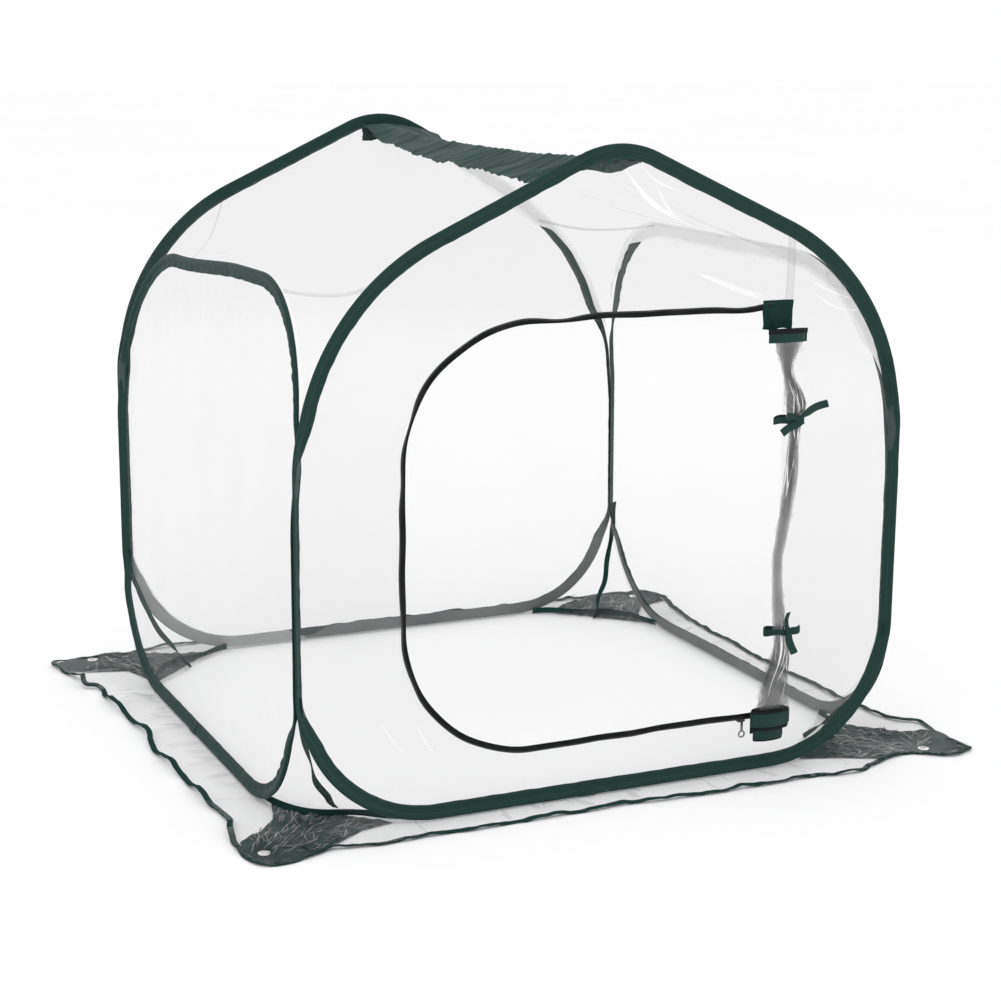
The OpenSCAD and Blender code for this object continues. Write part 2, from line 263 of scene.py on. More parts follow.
def make(name, shape, look, body=None, node=None):
    """Object from points and faces; it rides on the body and stands for the CAD node given."""
    points, faces = shape
    mesh = bpy.data.meshes.new(name)
    mesh.from_pydata(np.asarray(points).tolist(), [], [[int(i) for i in f] for f in faces])
    mesh.validate()
    mesh.polygons.foreach_set("use_smooth", [True] * len(mesh.polygons))
    mesh.set_sharp_from_angle(angle=math.radians(50))
    mesh.materials.append(look)
    piece = bpy.data.objects.new(name, mesh)
    bpy.context.scene.collection.objects.link(piece)
    if body:
        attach(piece, body)
    if node:
        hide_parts(node)
    return piece


# ---- materials --------------------------------------------------------------------------

class Look:
    """Principled material whose colour, roughness and bump come from its nodes."""

    def __init__(self, name, **fixed):
        self.material = bpy.data.materials.new(name)
        self.material.use_nodes = True
        self.tree = self.material.node_tree
        self.link = self.tree.links.new
        self.shader = self.tree.nodes["Principled BSDF"]
        self.place = self.new("TexCoord").outputs["Object"]
        self.settle(self.shader, fixed)

    def settle(self, node, values):
        """Sets a node's inputs by their names, with _ for a space."""
        for socket, value in values.items():
            node.inputs[socket.replace("_", " ")].default_value = value
        return node

    def new(self, kind, **values):
        return self.settle(self.tree.nodes.new("ShaderNode" + kind), values)

    def noise(self, scale, detail=4.0, rough=0.55, stretch=None):
        node = self.new("TexNoise", Scale=scale, Detail=detail, Roughness=rough)
        source = self.place
        if stretch:
            mapping = self.new("Mapping", Scale=stretch)
            self.link(source, mapping.inputs["Vector"])
            source = mapping.outputs["Vector"]
        self.link(source, node.inputs["Vector"])
        return node.outputs["Fac"]

    def threads(self, axis, pitch):
        """Waves across an axis, one to each thread; the node makes 0.314 / scale of each."""
        node = self.new("TexWave", Scale=0.314 / pitch, Distortion=0.6)
        node.bands_direction = axis
        self.link(self.place, node.inputs["Vector"])
        return node.outputs["Fac"]

    def add(self, a, b, weight=1.0):
        """a + weight * b."""
        node = self.new("Math")
        node.operation = "MULTIPLY_ADD"
        self.link(b, node.inputs[0])
        node.inputs[1].default_value = weight
        self.link(a, node.inputs[2])
        return node.outputs[0]

    def colour(self, source, stops):
        ramp = self.new("ValToRGB")
        points = ramp.color_ramp.elements
        while len(points) < len(stops):
            points.new(0.5)
        for point, (at, rgb) in zip(points, stops):
            point.position = at
            point.color = (*rgb, 1)
        self.link(source, ramp.inputs["Fac"])
        self.link(ramp.outputs["Color"], self.shader.inputs["Base Color"])

    def rough(self, source, low, high):
        node = self.new("MapRange", To_Min=low, To_Max=high)
        self.link(source, node.inputs["Value"])
        self.link(node.outputs["Result"], self.shader.inputs["Roughness"])

    def bump(self, source, strength, distance):
        node = self.new("Bump", Strength=strength, Distance=distance)
        self.link(source, node.inputs["Height"])
        self.link(node.outputs["Normal"], self.shader.inputs["Normal"])


def film(name, alpha, greys, gloss=0.07, crinkle=18.0, shine=0.9, bend=1.5):
    look = Look(name, Alpha=alpha, IOR=bend, Specular_IOR_Level=shine)
    cloud = look.noise(7.0, 5.0)
    look.colour(cloud, [(0.3, (greys[0],) * 3), (0.7, (greys[1],) * 3)])
    look.rough(look.noise(30.0), gloss, gloss + 0.12)
    look.bump(look.noise(crinkle, 2.0), 0.35, 0.006)
    return look.material


def fabric(name, dark, light, pitch=0.0008, crease=0.0015, sheen=0.04, shine=0.16):
    look = Look(name, Sheen_Weight=sheen, Sheen_Roughness=0.5, Specular_IOR_Level=shine)
    shade = look.add(look.noise(6.0, 6.0), look.noise(70.0, 3.0), 0.35)
    weave = look.add(look.threads("X", pitch), look.threads("Z", pitch * 1.04))
    weave = look.add(weave, look.threads("Y", pitch * 0.97))
    look.colour(look.add(shade, weave, 0.03), [(0.42, dark), (0.62, light), (0.95, light)])
    look.rough(look.noise(40.0), 0.5, 0.72)
    fold = look.add(look.noise(55.0, 4.0, stretch=(1, 1, 0.6)), weave, 0.05)
    look.bump(fold, 0.6, crease)
    return look.material


def woven_black(name):
    look = Look(name, Sheen_Weight=0.01, Specular_IOR_Level=0.08)
    weave = look.add(look.threads("X", 0.0009), look.threads("Z", 0.0009))
    shade = look.add(look.noise(25.0), weave, 0.08)
    look.colour(shade, [(0.35, (0.003, 0.004, 0.004)), (0.8, (0.016, 0.018, 0.017))])
    look.rough(look.noise(60.0), 0.45, 0.65)
    look.bump(weave, 0.4, 0.0003)
    return look.material


def metal(name, tint, low, high, scratch=90.0):
    look = Look(name, Metallic=1.0)
    look.colour(look.noise(12.0), [(0.3, tint), (0.75, tuple(c * 0.8 for c in tint))])
    grain = look.noise(scratch, 6.0, 0.7, stretch=(1, 6, 1))
    look.rough(grain, low, high)
    look.bump(grain, 0.15, 0.0002)
    return look.material


def plastic(name, dark, light):
    look = Look(name, Specular_IOR_Level=0.5)
    look.colour(look.noise(30.0), [(0.3, dark), (0.7, light)])
    look.rough(look.noise(200.0, 3.0), 0.28, 0.5)
    look.bump(look.noise(400.0, 3.0), 0.2, 0.0002)
    return look.material


CLEAR = film("clear_film_look", 0.11, (0.29, 0.37))
# Crinkled film: its contrasty grey colour noise, near black to near white, is painted glints,
# light and dark
CRINKLED = film("crinkled_film_painted_glint_look", 0.15, (0.0, 0.9), 0.04, 45.0, 0.4, 1.1)
ROLLED = film("rolled_film_look", 0.125, (0.06, 0.50), 0.05, 60.0)
OVERHEAD = film("roof_film_look", 0.058, (0.12, 0.20), shine=0.08, bend=1.04)
SKIRT = film("skirt_film_look", 0.14, (0.34, 0.56), 0.06, 30.0, 0.3)
# Grey slivers: painted shade along the skirts' wrinkles
FOLD_SHADE = film("painted_fold_shade_look", 0.13, (0.10, 0.35), 0.08, 30.0, 0.2)
# Nearly opaque white film: the roof hems, whose pale colour is partly painted glare, and slivers
# that are painted highlights on creases of the clear film
PALE_HEM_AND_GLINT = film("pale_hem_and_painted_glint_look", 0.86, (0.90, 1.0), 0.25, 30.0, 0.3)
SHADED = film("shaded_film_look", 0.55, (0.03, 0.16), 0.08, 60.0, 0.5)
GLINT = film("glint_film_look", 0.55, (0.30, 0.85), 0.08, 90.0, 0.4, 1.2)
# Pale sheets over the far sleeves' feet: painted lightening, standing in for reflection and haze
# of the film in front
LIGHTENING_VEIL = film("painted_lightening_veil_look", 0.42, (0.62, 0.80), 0.2, 30.0, 0.3, 1.1)
THIN_LIGHTENING_VEIL = film("thin_painted_lightening_veil_look", 0.2, (0.45, 0.75), 0.2, 60.0, 0.3, 1.1)
GREEN = fabric("green_sleeve_look", (0.005, 0.022, 0.018), (0.012, 0.040, 0.034))
GREEN_LIGHT = fabric("green_ridge_look", (0.007, 0.029, 0.023), (0.019, 0.050, 0.042))
GREEN_DARK = fabric("green_patch_look", (0.004, 0.018, 0.015), (0.016, 0.044, 0.038), 0.0008,
                    0.003, 0.0, 0.01)
THREAD = fabric("thread_look", (0.015, 0.040, 0.034), (0.045, 0.085, 0.075), 0.0004, 0.0004)
TAPE = woven_black("zipper_tape_look")
COIL = plastic("zipper_coil_look", (0.006, 0.006, 0.006), (0.02, 0.02, 0.02))
ENAMEL = plastic("zipper_slider_look", (0.008, 0.008, 0.008), (0.03, 0.03, 0.03))
STEEL = metal("spring_steel_look", (0.55, 0.56, 0.58), 0.25, 0.45)
PLATED = metal("plated_metal_look", (0.78, 0.78, 0.76), 0.14, 0.32, 40.0)
PULL_METAL = metal("pull_metal_look", (0.20, 0.20, 0.20), 0.2, 0.4, 120.0)


# ---- panels -----------------------------------------------------------------------------

def outline(kind):
    """Outer edge of a panel, round from the middle of its foot, as (along, height)."""
    if kind == "gable":
        shoulder_x = GABLE_HALF - SHOULDER_R
        apex_z = APEX - APEX_R
        pitch = math.radians(PITCH)
        rise = APEX_R - SHOULDER_R - shoulder_x * math.sin(pitch)
        right = [arc(GABLE_HALF - FOOT_R, FOOT_Z + FOOT_R, FOOT_R, -90, 0),
                 arc(shoulder_x, apex_z + rise / math.cos(pitch), SHOULDER_R, 0, 90 - PITCH),
                 arc(0, apex_z, APEX_R, 90 - PITCH, 90)]
    else:
        right = [arc(SIDE_HALF - FOOT_R, FOOT_Z + FOOT_R, FOOT_R, -90, 0),
                 arc(SIDE_HALF - SIDE_TOP_R, SIDE_TOP - SIDE_TOP_R, SIDE_TOP_R, 0, 90),
                 np.array([[0, SIDE_TOP]])]
    right = np.vstack([np.array([[0, FOOT_Z]])] + right)
    return np.vstack([right, right[-2::-1] * (-1, 1)])


def rim(kind, step):
    """Evenly spaced points round a panel, with the directions to its inside."""
    edge = even(outline(kind), step)[:-1]
    along = unit(np.roll(edge, -1, 0) - np.roll(edge, 1, 0))
    return edge, -right_of(along)


RIM = {kind: rim(kind, 0.012)[0] for kind in ("gable", "side")}


def lean(h):
    """How far the roof film pulls a side panel in at height h."""
    return LEAN * np.clip((np.asarray(h, float) - 0.46) / 0.33, 0, 1.2) ** 1.35


FIN = (-0.007, 0.014)      # where the sleeves' fin starts and ends, inwards from a corner
FIN_THIN = 0.33            # how much a sleeve is flattened in the fin


def seamed(h):
    """How far two panels are drawn together at height h of a corner."""
    return smooth((h - 0.135) / 0.07) * smooth((0.615 - h) / 0.08)


def turned_in(side, a, h, out):
    """Corner seams: two panels' sleeves lie back to back, in a fin on the corner's bisector."""
    half = GABLE_HALF if KIND[side] == "gable" else SIDE_HALF
    gap = half - np.abs(a)
    share = seamed(h) * (gap > -0.01)
    depth = FIN[0] + (FIN[1] - FIN[0]) * np.clip(gap / SLEEVE_W, 0, 1)
    share = share * (1 - smooth((gap - SLEEVE_W) / 0.07))
    near = np.minimum(gap, SLEEVE_W)
    half_root = math.sqrt(0.5)
    inwards = half_root * (depth + FIN_THIN * out) - near
    outwards = half_root * (FIN_THIN * out - depth) - out
    return a - np.sign(a) * share * inwards, out + share * outwards


def slump(x, z):
    """How far the back panel's right shoulder is pulled in, at x and height z."""
    pull = np.interp(z, (0, 0.15, 0.42, 0.52, 0.61, 0.72, 0.80, 1.0),
                     (0, 0.010, 0.013, 0.022, 0.040, 0.052, 0.066, 0.060))
    return -smooth((x - 0.05) / 0.3) * pull


def sink(side, y, h):
    """How far the left panel's top edge is drawn down at its back, at y and height h."""
    if side != "left":
        return 0.0 * y
    fall = 0.004 * (1 - smooth((y + 0.275) / 0.3)) - 0.018 * smooth((y + 0.125) / 0.35)
    return fall * smooth((h - 0.5) / 0.25)


def facing(side, a, h, out):
    """Directions along, up and out of a panel, in the world."""
    a, h, out = np.broadcast_arrays(a, h, out)
    if side == "front":
        return np.stack([a, -out, h], -1)
    if side == "back":
        return np.stack([-a, out, h], -1)
    if side == "left":
        return np.stack([-out, -a, h], -1)
    return np.stack([out, a, h], -1)


BASE = {"front": (0, -HALF_D, 0), "back": (0, HALF_D, 0), "left": (-HALF_W, 0, 0),
        "right": (HALF_W, 0, 0)}


def place(side, a, h, out):
    """Points of a panel: a along it, h up, out outwards from its inner face."""
    a, h, out = (np.array(v, float) for v in np.broadcast_arrays(a, h, out))
    a, out = turned_in(side, a, h, out)
    if side in ("left", "right"):
        out = out - lean(h)
    if side == "left":
        h = h + sink(side, -a, h)
    if side == "right":
        slack = np.interp(h, (0, 0.15, 0.5, 0.7), (0, 0.010, 0.012, 0))
        out = out - smooth((a + 0.1) / 0.5) * slack
    points = facing(side, a, h, out) + BASE[side]
    if side == "back":
        points[..., 0] += slump(points[..., 0], h)
    return points


RIPPLE = {side: waves(seed, 9, 0.16, 0.6)
          for seed, side in enumerate(("front", "back", "left", "right"), 11)}


def film_out(side, a, h):
    """How far a panel's film stands off its plane: slack ripples that die out at the rim."""
    a, h = np.broadcast_arrays(np.asarray(a, float), np.asarray(h, float))
    edge = RIM[KIND[side]]
    gap = np.sqrt((a[..., None] - edge[:, 0]) ** 2 + (h[..., None] - edge[:, 1]) ** 2).min(-1)
    return 0.0003 + 0.0035 * RIPPLE[side](a, h) * smooth((gap - SLEEVE_W) / 0.09)


# Section of a sleeve: distance in from the panel's edge, height off its inner face, in mm
SLEEVE_OUTER = [(0.2, 5.0), (0.9, 7.6), (2.6, 9.2), (5.0, 9.3), (7.6, 8.0), (9.6, 6.0),
                (11.6, 4.4), (14.0, 3.6), (17.0, 3.1), (20.0, 3.0), (22.2, 2.6)]
SLEEVE_INNER = [(22.5, 1.4), (20.0, 1.0), (15.0, 0.9), (9.0, 0.9), (4.0, 1.0), (1.2, 2.0)]


def pucker(a, h, d, seed):
    """Puckers of a sewn sleeve, strongest on its flat inner part, in metres."""
    fine = waves(seed, 12, 0.011, 0.034)
    broad = waves(seed + 50, 6, 0.07, 0.3)
    flap = smooth((d - 9 * MM) / (11 * MM))
    return MM * ((0.25 + 0.55 * flap) * (1 + fine(a, h)) + (0.2 + 0.5 * flap) * broad(a, h))


def flatten(piece, side):
    """Gives a side panel's piece its own copy of its mesh."""
    if side in ("left", "right"):
        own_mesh(piece)


def hoop(side):
    """Spring steel strip in a panel's sleeve, bent with it and turned flat in the fins."""
    edge, inward = rim(KIND[side], 0.012)
    section = [(3.4, 2.3), (3.9, 2.1), (4.4, 2.3), (4.5, 5.1), (4.4, 7.9), (3.9, 8.1),
               (3.4, 7.9), (3.3, 5.1), (3.4, 2.3)]
    share = seamed(edge[:, 1])
    rings = []
    for d, out in section:
        to_d, to_out = 7.2 + (8.1 - out) * 0.72, 4.2 + (d - 3.9) * 2.0
        d, out = d + share * (to_d - 5.5 - d), out + share * (to_out - out)
        a, z = (edge + inward * (d * MM)[:, None]).T
        rings.append(place(side, a, z, out * MM))
    shape = sheet_grid(np.stack(rings, 1)[:, ::-1], wrap=True)
    piece = make(f"{side}_hoop_strip", shape, STEEL, side, f"{side}_hoop")
    flatten(piece, side)


def sleeve(side, seed):
    """Fabric sleeve round a panel, with its two rows of stitches and the cuff at its joint."""
    step = 0.0065
    edge, inward = rim(KIND[side], step)
    rings = []
    for d, out in SLEEVE_OUTER + SLEEVE_INNER:
        a, h = (edge + inward * d * MM).T
        lift = pucker(a, h, d * MM, seed)
        shrink = MM * 0.5 * waves(seed + 90, 8, 0.02, 0.09)(a, h) * smooth((d - 14) / 12)
        a, h = (edge + inward * (d * MM + shrink)[:, None]).T
        lift = lift - 0.3 * MM if out > 2.2 else 0.2 * lift
        rings.append(place(side, a, h, out * MM + lift))
    rings.append(rings[0])
    shape = sheet_grid(np.stack(rings, 1)[:, ::-1], wrap=True)
    piece = make(f"{side}_sleeve_cloth", shape, GREEN, side, f"{side}_sleeve")

    rows = []
    depth, height = np.array(SLEEVE_OUTER).T
    for d in (9.9, 20.4):
        spot, inner = rim(KIND[side], 0.0042)
        a, h = (spot + inner * d * MM).T
        out = np.interp(d, depth, height) * MM + pucker(a, h, d * MM, seed) - 0.15 * MM
        along = facing(side, inner[:, 1], -inner[:, 0], 0.0)
        rows.append(boxes(place(side, a, h, out), along, facing(side, *inner.T, 0.0),
                          (0.0029, 0.0006, 0.0005)))
    stitches = make(f"{side}_sleeve_stitches", joined(*rows), THREAD, side)

    # overlapped cuff where the two ends of the sleeve meet, off the middle of the foot
    near = (np.abs(edge[:, 0] + 0.04) < 0.016) & (edge[:, 1] < 0.1)
    order = np.argsort(edge[near][:, 0])
    foot, inner = edge[near][order], inward[near][order]
    strip = []
    for d, out in SLEEVE_OUTER:
        a, h = (foot + inner * d * MM).T
        strip.append(place(side, a, h, out * MM + pucker(a, h, d * MM, seed) + 0.5 * MM))
    cuff = make(f"{side}_sleeve_cuff", slab(np.stack(strip, 1), 0.8 * MM), GREEN, side)
    for part in (piece, stitches, cuff):
        flatten(part, side)


def wall(side):
    """Film of a panel without a door."""
    kind = KIND[side]
    edge, inward = rim(kind, 0.014)
    inset = FILM_IN + (0.016 * smooth((edge[:, 1] - 0.56) / 0.08) if side == "back" else 0.0)
    edge = edge + inward * np.broadcast_to(inset, len(edge))[:, None]
    middle = np.array([0, 0.42])
    t = np.linspace(0.0004, 1, 30) ** 0.8
    ring = middle + t[:, None, None] * (edge - middle)
    ring = np.concatenate([ring, ring[:, :1]], 1)
    a, h = ring[..., 0], ring[..., 1]
    angle = np.arctan2(h - middle[1], a)
    pull = 0.0011 * np.sin(46 * angle + 3 * waves(5, 3, 0.2, 0.5)(a, h))
    t = t[:, None]
    out = film_out(side, a, h) + pull * smooth((t - 0.55) / 0.3) * smooth((1 - t) / 0.1)
    piece = make(f"{side}_film_sheet", sheet_grid(place(side, a, h, out)[::-1]), CLEAR, side,
                 f"{side}_film")
    extra = [hem(side, *told) for told in HEMS.get(side, ())]
    flatten(piece, side)


# ---- door opening, zipper and rolled door -----------------------------------------------

def door_path(step=0.006):
    """Door opening's edge, from the foot of its seam round to the top, with small wobbles."""
    r = DOOR_R
    path = np.vstack([[[DOOR_SEAM, DOOR_BOTTOM]],
                      arc(DOOR_LEFT + r, DOOR_BOTTOM + r, r, 270, 180),
                      arc(DOOR_LEFT + r, DOOR_TOP - r, r, 180, 90),
                      [[DOOR_SEAM, DOOR_TOP]]])
    path = even(path, step)
    along = unit(np.gradient(path, axis=0))
    outward = right_of(along)
    run = np.arange(len(path)) * step
    calm = smooth(run / 0.12) * smooth((run[-1] - run) / 0.06)
    wobble = waves(21, 7, 0.05, 0.22)(run) * 0.0010 + waves(22, 3, 0.3, 0.9)(run) * 0.0014
    return path + outward * (wobble * calm)[:, None], along, outward, run


def front_wall():
    """Film of the front panel round the door opening, with the welded seam above the door."""
    path, _, outward, _ = door_path()
    hinge_line = even([[DOOR_SEAM, DOOR_TOP], [DOOR_SEAM, DOOR_BOTTOM]], 0.006)
    hole = np.vstack([path + outward * 0.0026, hinge_line])
    edge, inward = rim("gable", 0.006)
    edge = edge + inward * FILM_IN
    middle = np.array([-0.02, 0.41])

    def at(loop, angles):
        return between(angles, np.arctan2(*(loop - middle).T[::-1]), loop, 2 * math.pi)
    corners = [math.atan2(z - middle[1], DOOR_SEAM - middle[0])
               for z in (DOOR_TOP, DOOR_BOTTOM)]
    angles = np.sort(np.r_[np.linspace(-math.pi, math.pi, 330, endpoint=False), corners])
    inner, outer = at(hole, angles), at(edge, angles)
    t = np.linspace(0, 1, 15)[:, None, None]
    ring = inner + t * (outer - inner)
    ring = np.concatenate([ring, ring[:, :1]], 1)
    a, h = ring[..., 0], ring[..., 1]
    crease = waves(31, 6, 0.025, 0.07, math.radians(60), 0.7)(a, h)
    shoulder = smooth(1 - np.hypot(a - 0.40, h - 0.72) / 0.13) * smooth((1 - t[..., 0]) / 0.2)
    out = film_out("front", a, h) + 0.0022 * crease * shoulder
    piece = make("front_film_sheet", sheet_grid(place("front", a, h, out)[::-1]), CLEAR,
                 "front", "front_film")
    # welded seam of the door's hinge side, carried on up to the roof edge
    rise = np.linspace(DOOR_TOP + 0.004, 0.846, 20)
    spot = np.full_like(rise, 0.296)
    seam = place("front", spot, rise, film_out("front", spot, rise) + 0.5 * MM)
    side_x = facing("front", 1.0, 0.0, 0.0)
    welt = make("door_seam_welt", joined(
        band(seam, side_x, 0.012, 0.4 * MM), band(seam - side_x * 0.006, side_x, 0.0014, 1.2 * MM),
        band(seam + side_x * 0.006, side_x, 0.0014, 1.2 * MM)), CLEAR, "front")
    front_creases()


def creases(name, paths, look, body):
    """Thin folds that stand out of a film: each a path, its across directions, its width."""
    parts = []
    for path, across, width in paths:
        t = np.linspace(0, 1, len(path))
        taper = (np.sin(math.pi * np.clip(t, 0.02, 0.98)) ** 0.7)[:, None]
        grid = np.stack([path + across * (width * taper * o) for o in (-0.5, 0.5)], 1)
        parts.append(sheet_grid(grid))
    return make(name, joined(*parts), look, body)


def front_creases():
    """Painted highlights: white slivers along folds of the front film under its right shoulder and
    by its apex.
    """
    paths = []
    for points, width in FRONT_HIGHLIGHT_FOLDS:
        line = curve([(x * MM, z * MM) for x, z in points], 0.006)
        path = place("front", line[:, 0], line[:, 1], film_out("front", *line.T) + 0.0012)
        along = unit(np.gradient(path, axis=0))
        across = unit(np.cross(along, facing("front", 0.0, 0.0, 1.0)))
        paths.append((path, across, width * MM))
    return creases("front_film_painted_highlights", paths, PALE_HEM_AND_GLINT, "front")


# Painted highlights along folds of the front film: points as (along, height) and width, in mm
FRONT_HIGHLIGHT_FOLDS = [
    ([(8, 948), (52, 900), (110, 866)], 7), ([(30, 958), (60, 930), (104, 912)], 3),
    ([(60, 925), (86, 884), (118, 862)], 4), ([(132, 792), (190, 770), (250, 746)], 9),
    ([(150, 786), (214, 764), (262, 748)], 3), ([(330, 772), (372, 752), (402, 742)], 3),
    ([(338, 752), (380, 728), (418, 722)], 4), ([(352, 800), (392, 776), (420, 748)], 3),
    ([(300, 838), (352, 822), (398, 786)], 3), ([(-316, 150), (-300, 118), (-286, 96)], 3),
    ([(-372, 160), (-352, 128), (-330, 104)], 2)]


def zipper():
    """Zipper's tape, standing off the film round the opening, with its coil and its hem."""
    path, along, outward, run = door_path(0.004)
    keep = (run > 0.028) & (run < run[-1] - 0.022)
    path, along, outward, run = path[keep], along[keep], outward[keep], run[keep]
    base = path + outward * 0.007
    off = film_out("front", *base.T) + 0.9 * MM
    tilt = 0.55 * waves(41, 6, 0.07, 0.4)(run) + 0.25
    sewn = place("front", *(base + outward * 0.0012).T, off)
    bent = place("front", *base.T, off + 0.2 * MM)
    reach = path + outward * (0.007 - 0.0055 * np.cos(tilt))[:, None]
    free = place("front", *reach.T, off + 0.0048 * np.sin(tilt))
    tape = slab(np.stack([sewn, bent, (bent + free) / 2, free], 1), 0.6 * MM)
    piece = make("zipper_tape_cloth", tape, TAPE, "front", "zipper_tape")
    line = even(free, 0.0026)
    step = unit(np.gradient(line, axis=0))
    order = np.linspace(0, len(free) - 1, len(line))
    away = between(order, np.arange(len(free)), unit(free - bent))
    away = unit(away - step * np.sum(away * step, 1)[:, None])
    teeth = boxes(line, step, away, (0.0017, 0.0026, 0.0017))
    core = band(line, away, 0.0014, 1.2 * MM)
    coil = make("zipper_coil", joined(teeth, core), COIL, "front")
    border = place("front", *(base + outward * 0.0014).T, off - 0.2 * MM)
    welt = band(border, facing("front", *outward.T, 0.0), 0.0034, 1.0 * MM)
    welt = make("zipper_hem", welt, TAPE, "front")


def spiral(centre_x, half_w, half_d, turns, seed):
    """(along, out) points of a wound strip's section, from its core to its free edge."""
    t = np.linspace(0, 1, 36 * turns + 1)
    angle = 2 * math.pi * turns * t
    grow = (0.3 + 0.7 * t) * (1 + 0.05 * waves(seed, 5, 0.45, 1.3)(angle))
    return np.stack([centre_x + half_w * grow * np.cos(angle),
                     max(ROLL_OUT, half_d + 0.0045) + half_d * grow * np.sin(angle)], 1)


# Rolled door: height, middle, half width and half depth, in mm
ROLL = [(100, 277, 33, 13), (118, 279, 30, 13), (150, 280, 24, 12), (176, 288, 19, 12),
        (205, 292, 13, 11), (228, 287, 11, 9), (250, 286, 13, 11), (300, 281, 9, 9),
        (345, 279, 9, 9), (400, 289, 11, 11), (470, 298, 11, 11), (530, 302, 9, 10),
        (552, 300, 9, 9), (575, 304, 18, 11), (600, 300, 19, 12), (622, 291, 9, 9),
        (640, 284, 8, 8), (655, 284, 13, 10), (672, 286, 25, 12), (684, 286, 28, 12)]


def rolled_door():
    """The door's film, rolled up beside its hinge seam, with dark and white slivers along its
    folds: painted shade and painted highlights.
    """
    level, *sizes = np.array(ROLL, float).T * MM
    z = np.linspace(level[0], level[-1], 92)
    kernel = np.ones(5) / 5
    middle, wide, deep = (
        np.convolve(np.pad(np.interp(z, level, v), 2, "edge"), kernel, "valid") for v in sizes)
    turns, samples = 10, 24
    t = np.linspace(0, 1, turns * samples + 1)
    angle = 2 * math.pi * turns * t
    crumple = waves(61, 8, 0.5, 1.5)
    pleat = waves(62, 7, 0.35, 0.9)
    rows = []
    for k, height in enumerate(z):
        twist = 1.4 * math.sin(height * 9) + 0.6 * math.sin(height * 31)
        grow = (0.24 + 0.76 * t) * (1 + 0.11 * crumple(angle + 22 * height, height * 40))
        grow = grow * (1 + 0.11 * pleat(angle * 1.7, height * 90))
        turn = angle + twist
        rows.append(place("front", middle[k] + wide[k] * grow * np.cos(turn) * 0.9,
                          height + 0.002 * crumple(angle, height * 60),
                          ROLL_OUT + deep[k] * grow * np.sin(turn) * 0.9))
    piece = make("door_film_rolled", sheet_grid(np.stack(rows)), ROLLED, "front", "door_roll")
    rng = np.random.default_rng(66)
    starts = np.r_[0:14, 50:64, 66:70, 66:70]   # rows where folds crowd: by the ties and ends
    # dark slivers are painted shade and white ones painted highlights along the roll's folds
    for kind, look, count, widest in (("shaded", SHADED, 26, 6.5), ("pale", PALE_HEM_AND_GLINT, 24, 3.0)):
        folds = []
        for _ in range(count):
            start = rng.choice(starts)
            stop = start + rng.integers(9, 22)
            turn = rng.uniform(math.pi * 0.95, math.pi * 2.05) + np.linspace(
                0, rng.uniform(-1.1, 1.1), stop - start)
            span = slice(start, stop)
            path = place("front", middle[span] + wide[span] * 0.97 * np.cos(turn), z[span],
                         ROLL_OUT - deep[span] * 0.99 * np.sin(turn))
            along = unit(np.gradient(path, axis=0))
            away = facing("front", np.cos(turn), 0.0, -np.sin(turn))
            across = unit(np.cross(along, away))
            folds.append((path, across, rng.uniform(0.35, 1.0) * widest * MM))
        creases(f"door_roll_{kind}_folds", folds, look, "front")
    area_of(door_path()[0])


def wound(node, centre_x, half_w, half_d, layers, turns, seed):
    """Rolled end of the door: layers of (foot, top, colour, growth) wound together."""
    parts = {"green": [], "black": []}
    for low, high, colour, grown in layers:
        section = spiral(centre_x * MM, half_w * grown * MM, half_d * grown * MM, turns, seed)
        z = np.array([low, (2 * low + high) / 3, (low + 2 * high) / 3, high]) * MM
        tilt = 0.0012 * np.sin(np.linspace(0, 2 * math.pi * turns, len(section)))
        grid = place("front", section[:, :1], z[None, :] + tilt[:, None], section[:, 1:])
        parts[colour].append(slab(grid, 0.9 * MM))
    name = node + "_cloth"
    piece = make(name, joined(*parts["green"]), GREEN, "front", node)
    trim = make(name + "_tape", joined(*parts["black"]), TAPE, "front")


def tie(node, x, z, half_w, tails, seed):
    """Ribbon tied round the roll, with its knot; each tail has an angle, a length and a width."""
    t = np.linspace(0, 2 * math.pi, 49)[:-1]
    sway = 0.0015 * np.sin(3 * t + seed)
    ring = place("front", x + half_w * np.cos(t), z + sway, ROLL_OUT + 0.0126 * np.sin(t))
    up = np.tile(facing("front", 0.0, 1.0, 0.0), (len(t), 1))
    parts = [band(ring, up, 0.0095, 0.9 * MM, wrap=True)]
    knot_out = ROLL_OUT + 0.0145
    for turn in (0.5, 2.1):
        s = np.linspace(0, 2 * math.pi, 25)[:-1]
        loop = place("front", x + 0.012 + 0.0045 * np.cos(s) * math.cos(turn),
                     z + 0.003 + 0.0045 * np.cos(s) * math.sin(turn),
                     knot_out + 0.0028 * np.sin(s))
        parts.append(band(loop, np.tile(facing("front", -math.sin(turn), math.cos(turn), 0.0),
                                        (len(s), 1)), 0.008, 1.0 * MM, wrap=True))
    for k, (angle, length, width) in enumerate(tails):
        aim, side = math.radians(angle), math.radians(angle + 90)
        s = np.linspace(0, 1, 16)
        bend = 0.10 * length * np.sin(2.2 * s + seed + k)
        a = x + 0.012 + length * s * math.cos(aim) + bend * math.cos(side)
        h = z + 0.003 + length * s * math.sin(aim) + bend * math.sin(side)
        out = knot_out + 0.0015 * k + 0.003 * np.sin(5 * s + k + seed) + 0.001
        grow = width * (0.55 + 0.45 * smooth(s * 3))
        across = facing("front", math.cos(side), math.sin(side), 0.15)
        path = place("front", a, h, out)
        grid = np.stack([path + across * (grow * o)[:, None]
                         for o in (-0.5, -0.17, 0.17, 0.5)], 1)
        grid[:, 1:3] += facing("front", 0.0, 0.0, 1.0) * 0.0009
        parts.append(slab(grid, 0.9 * MM))
    piece = make(node + "_ribbon", joined(*parts), GREEN, "front", node)


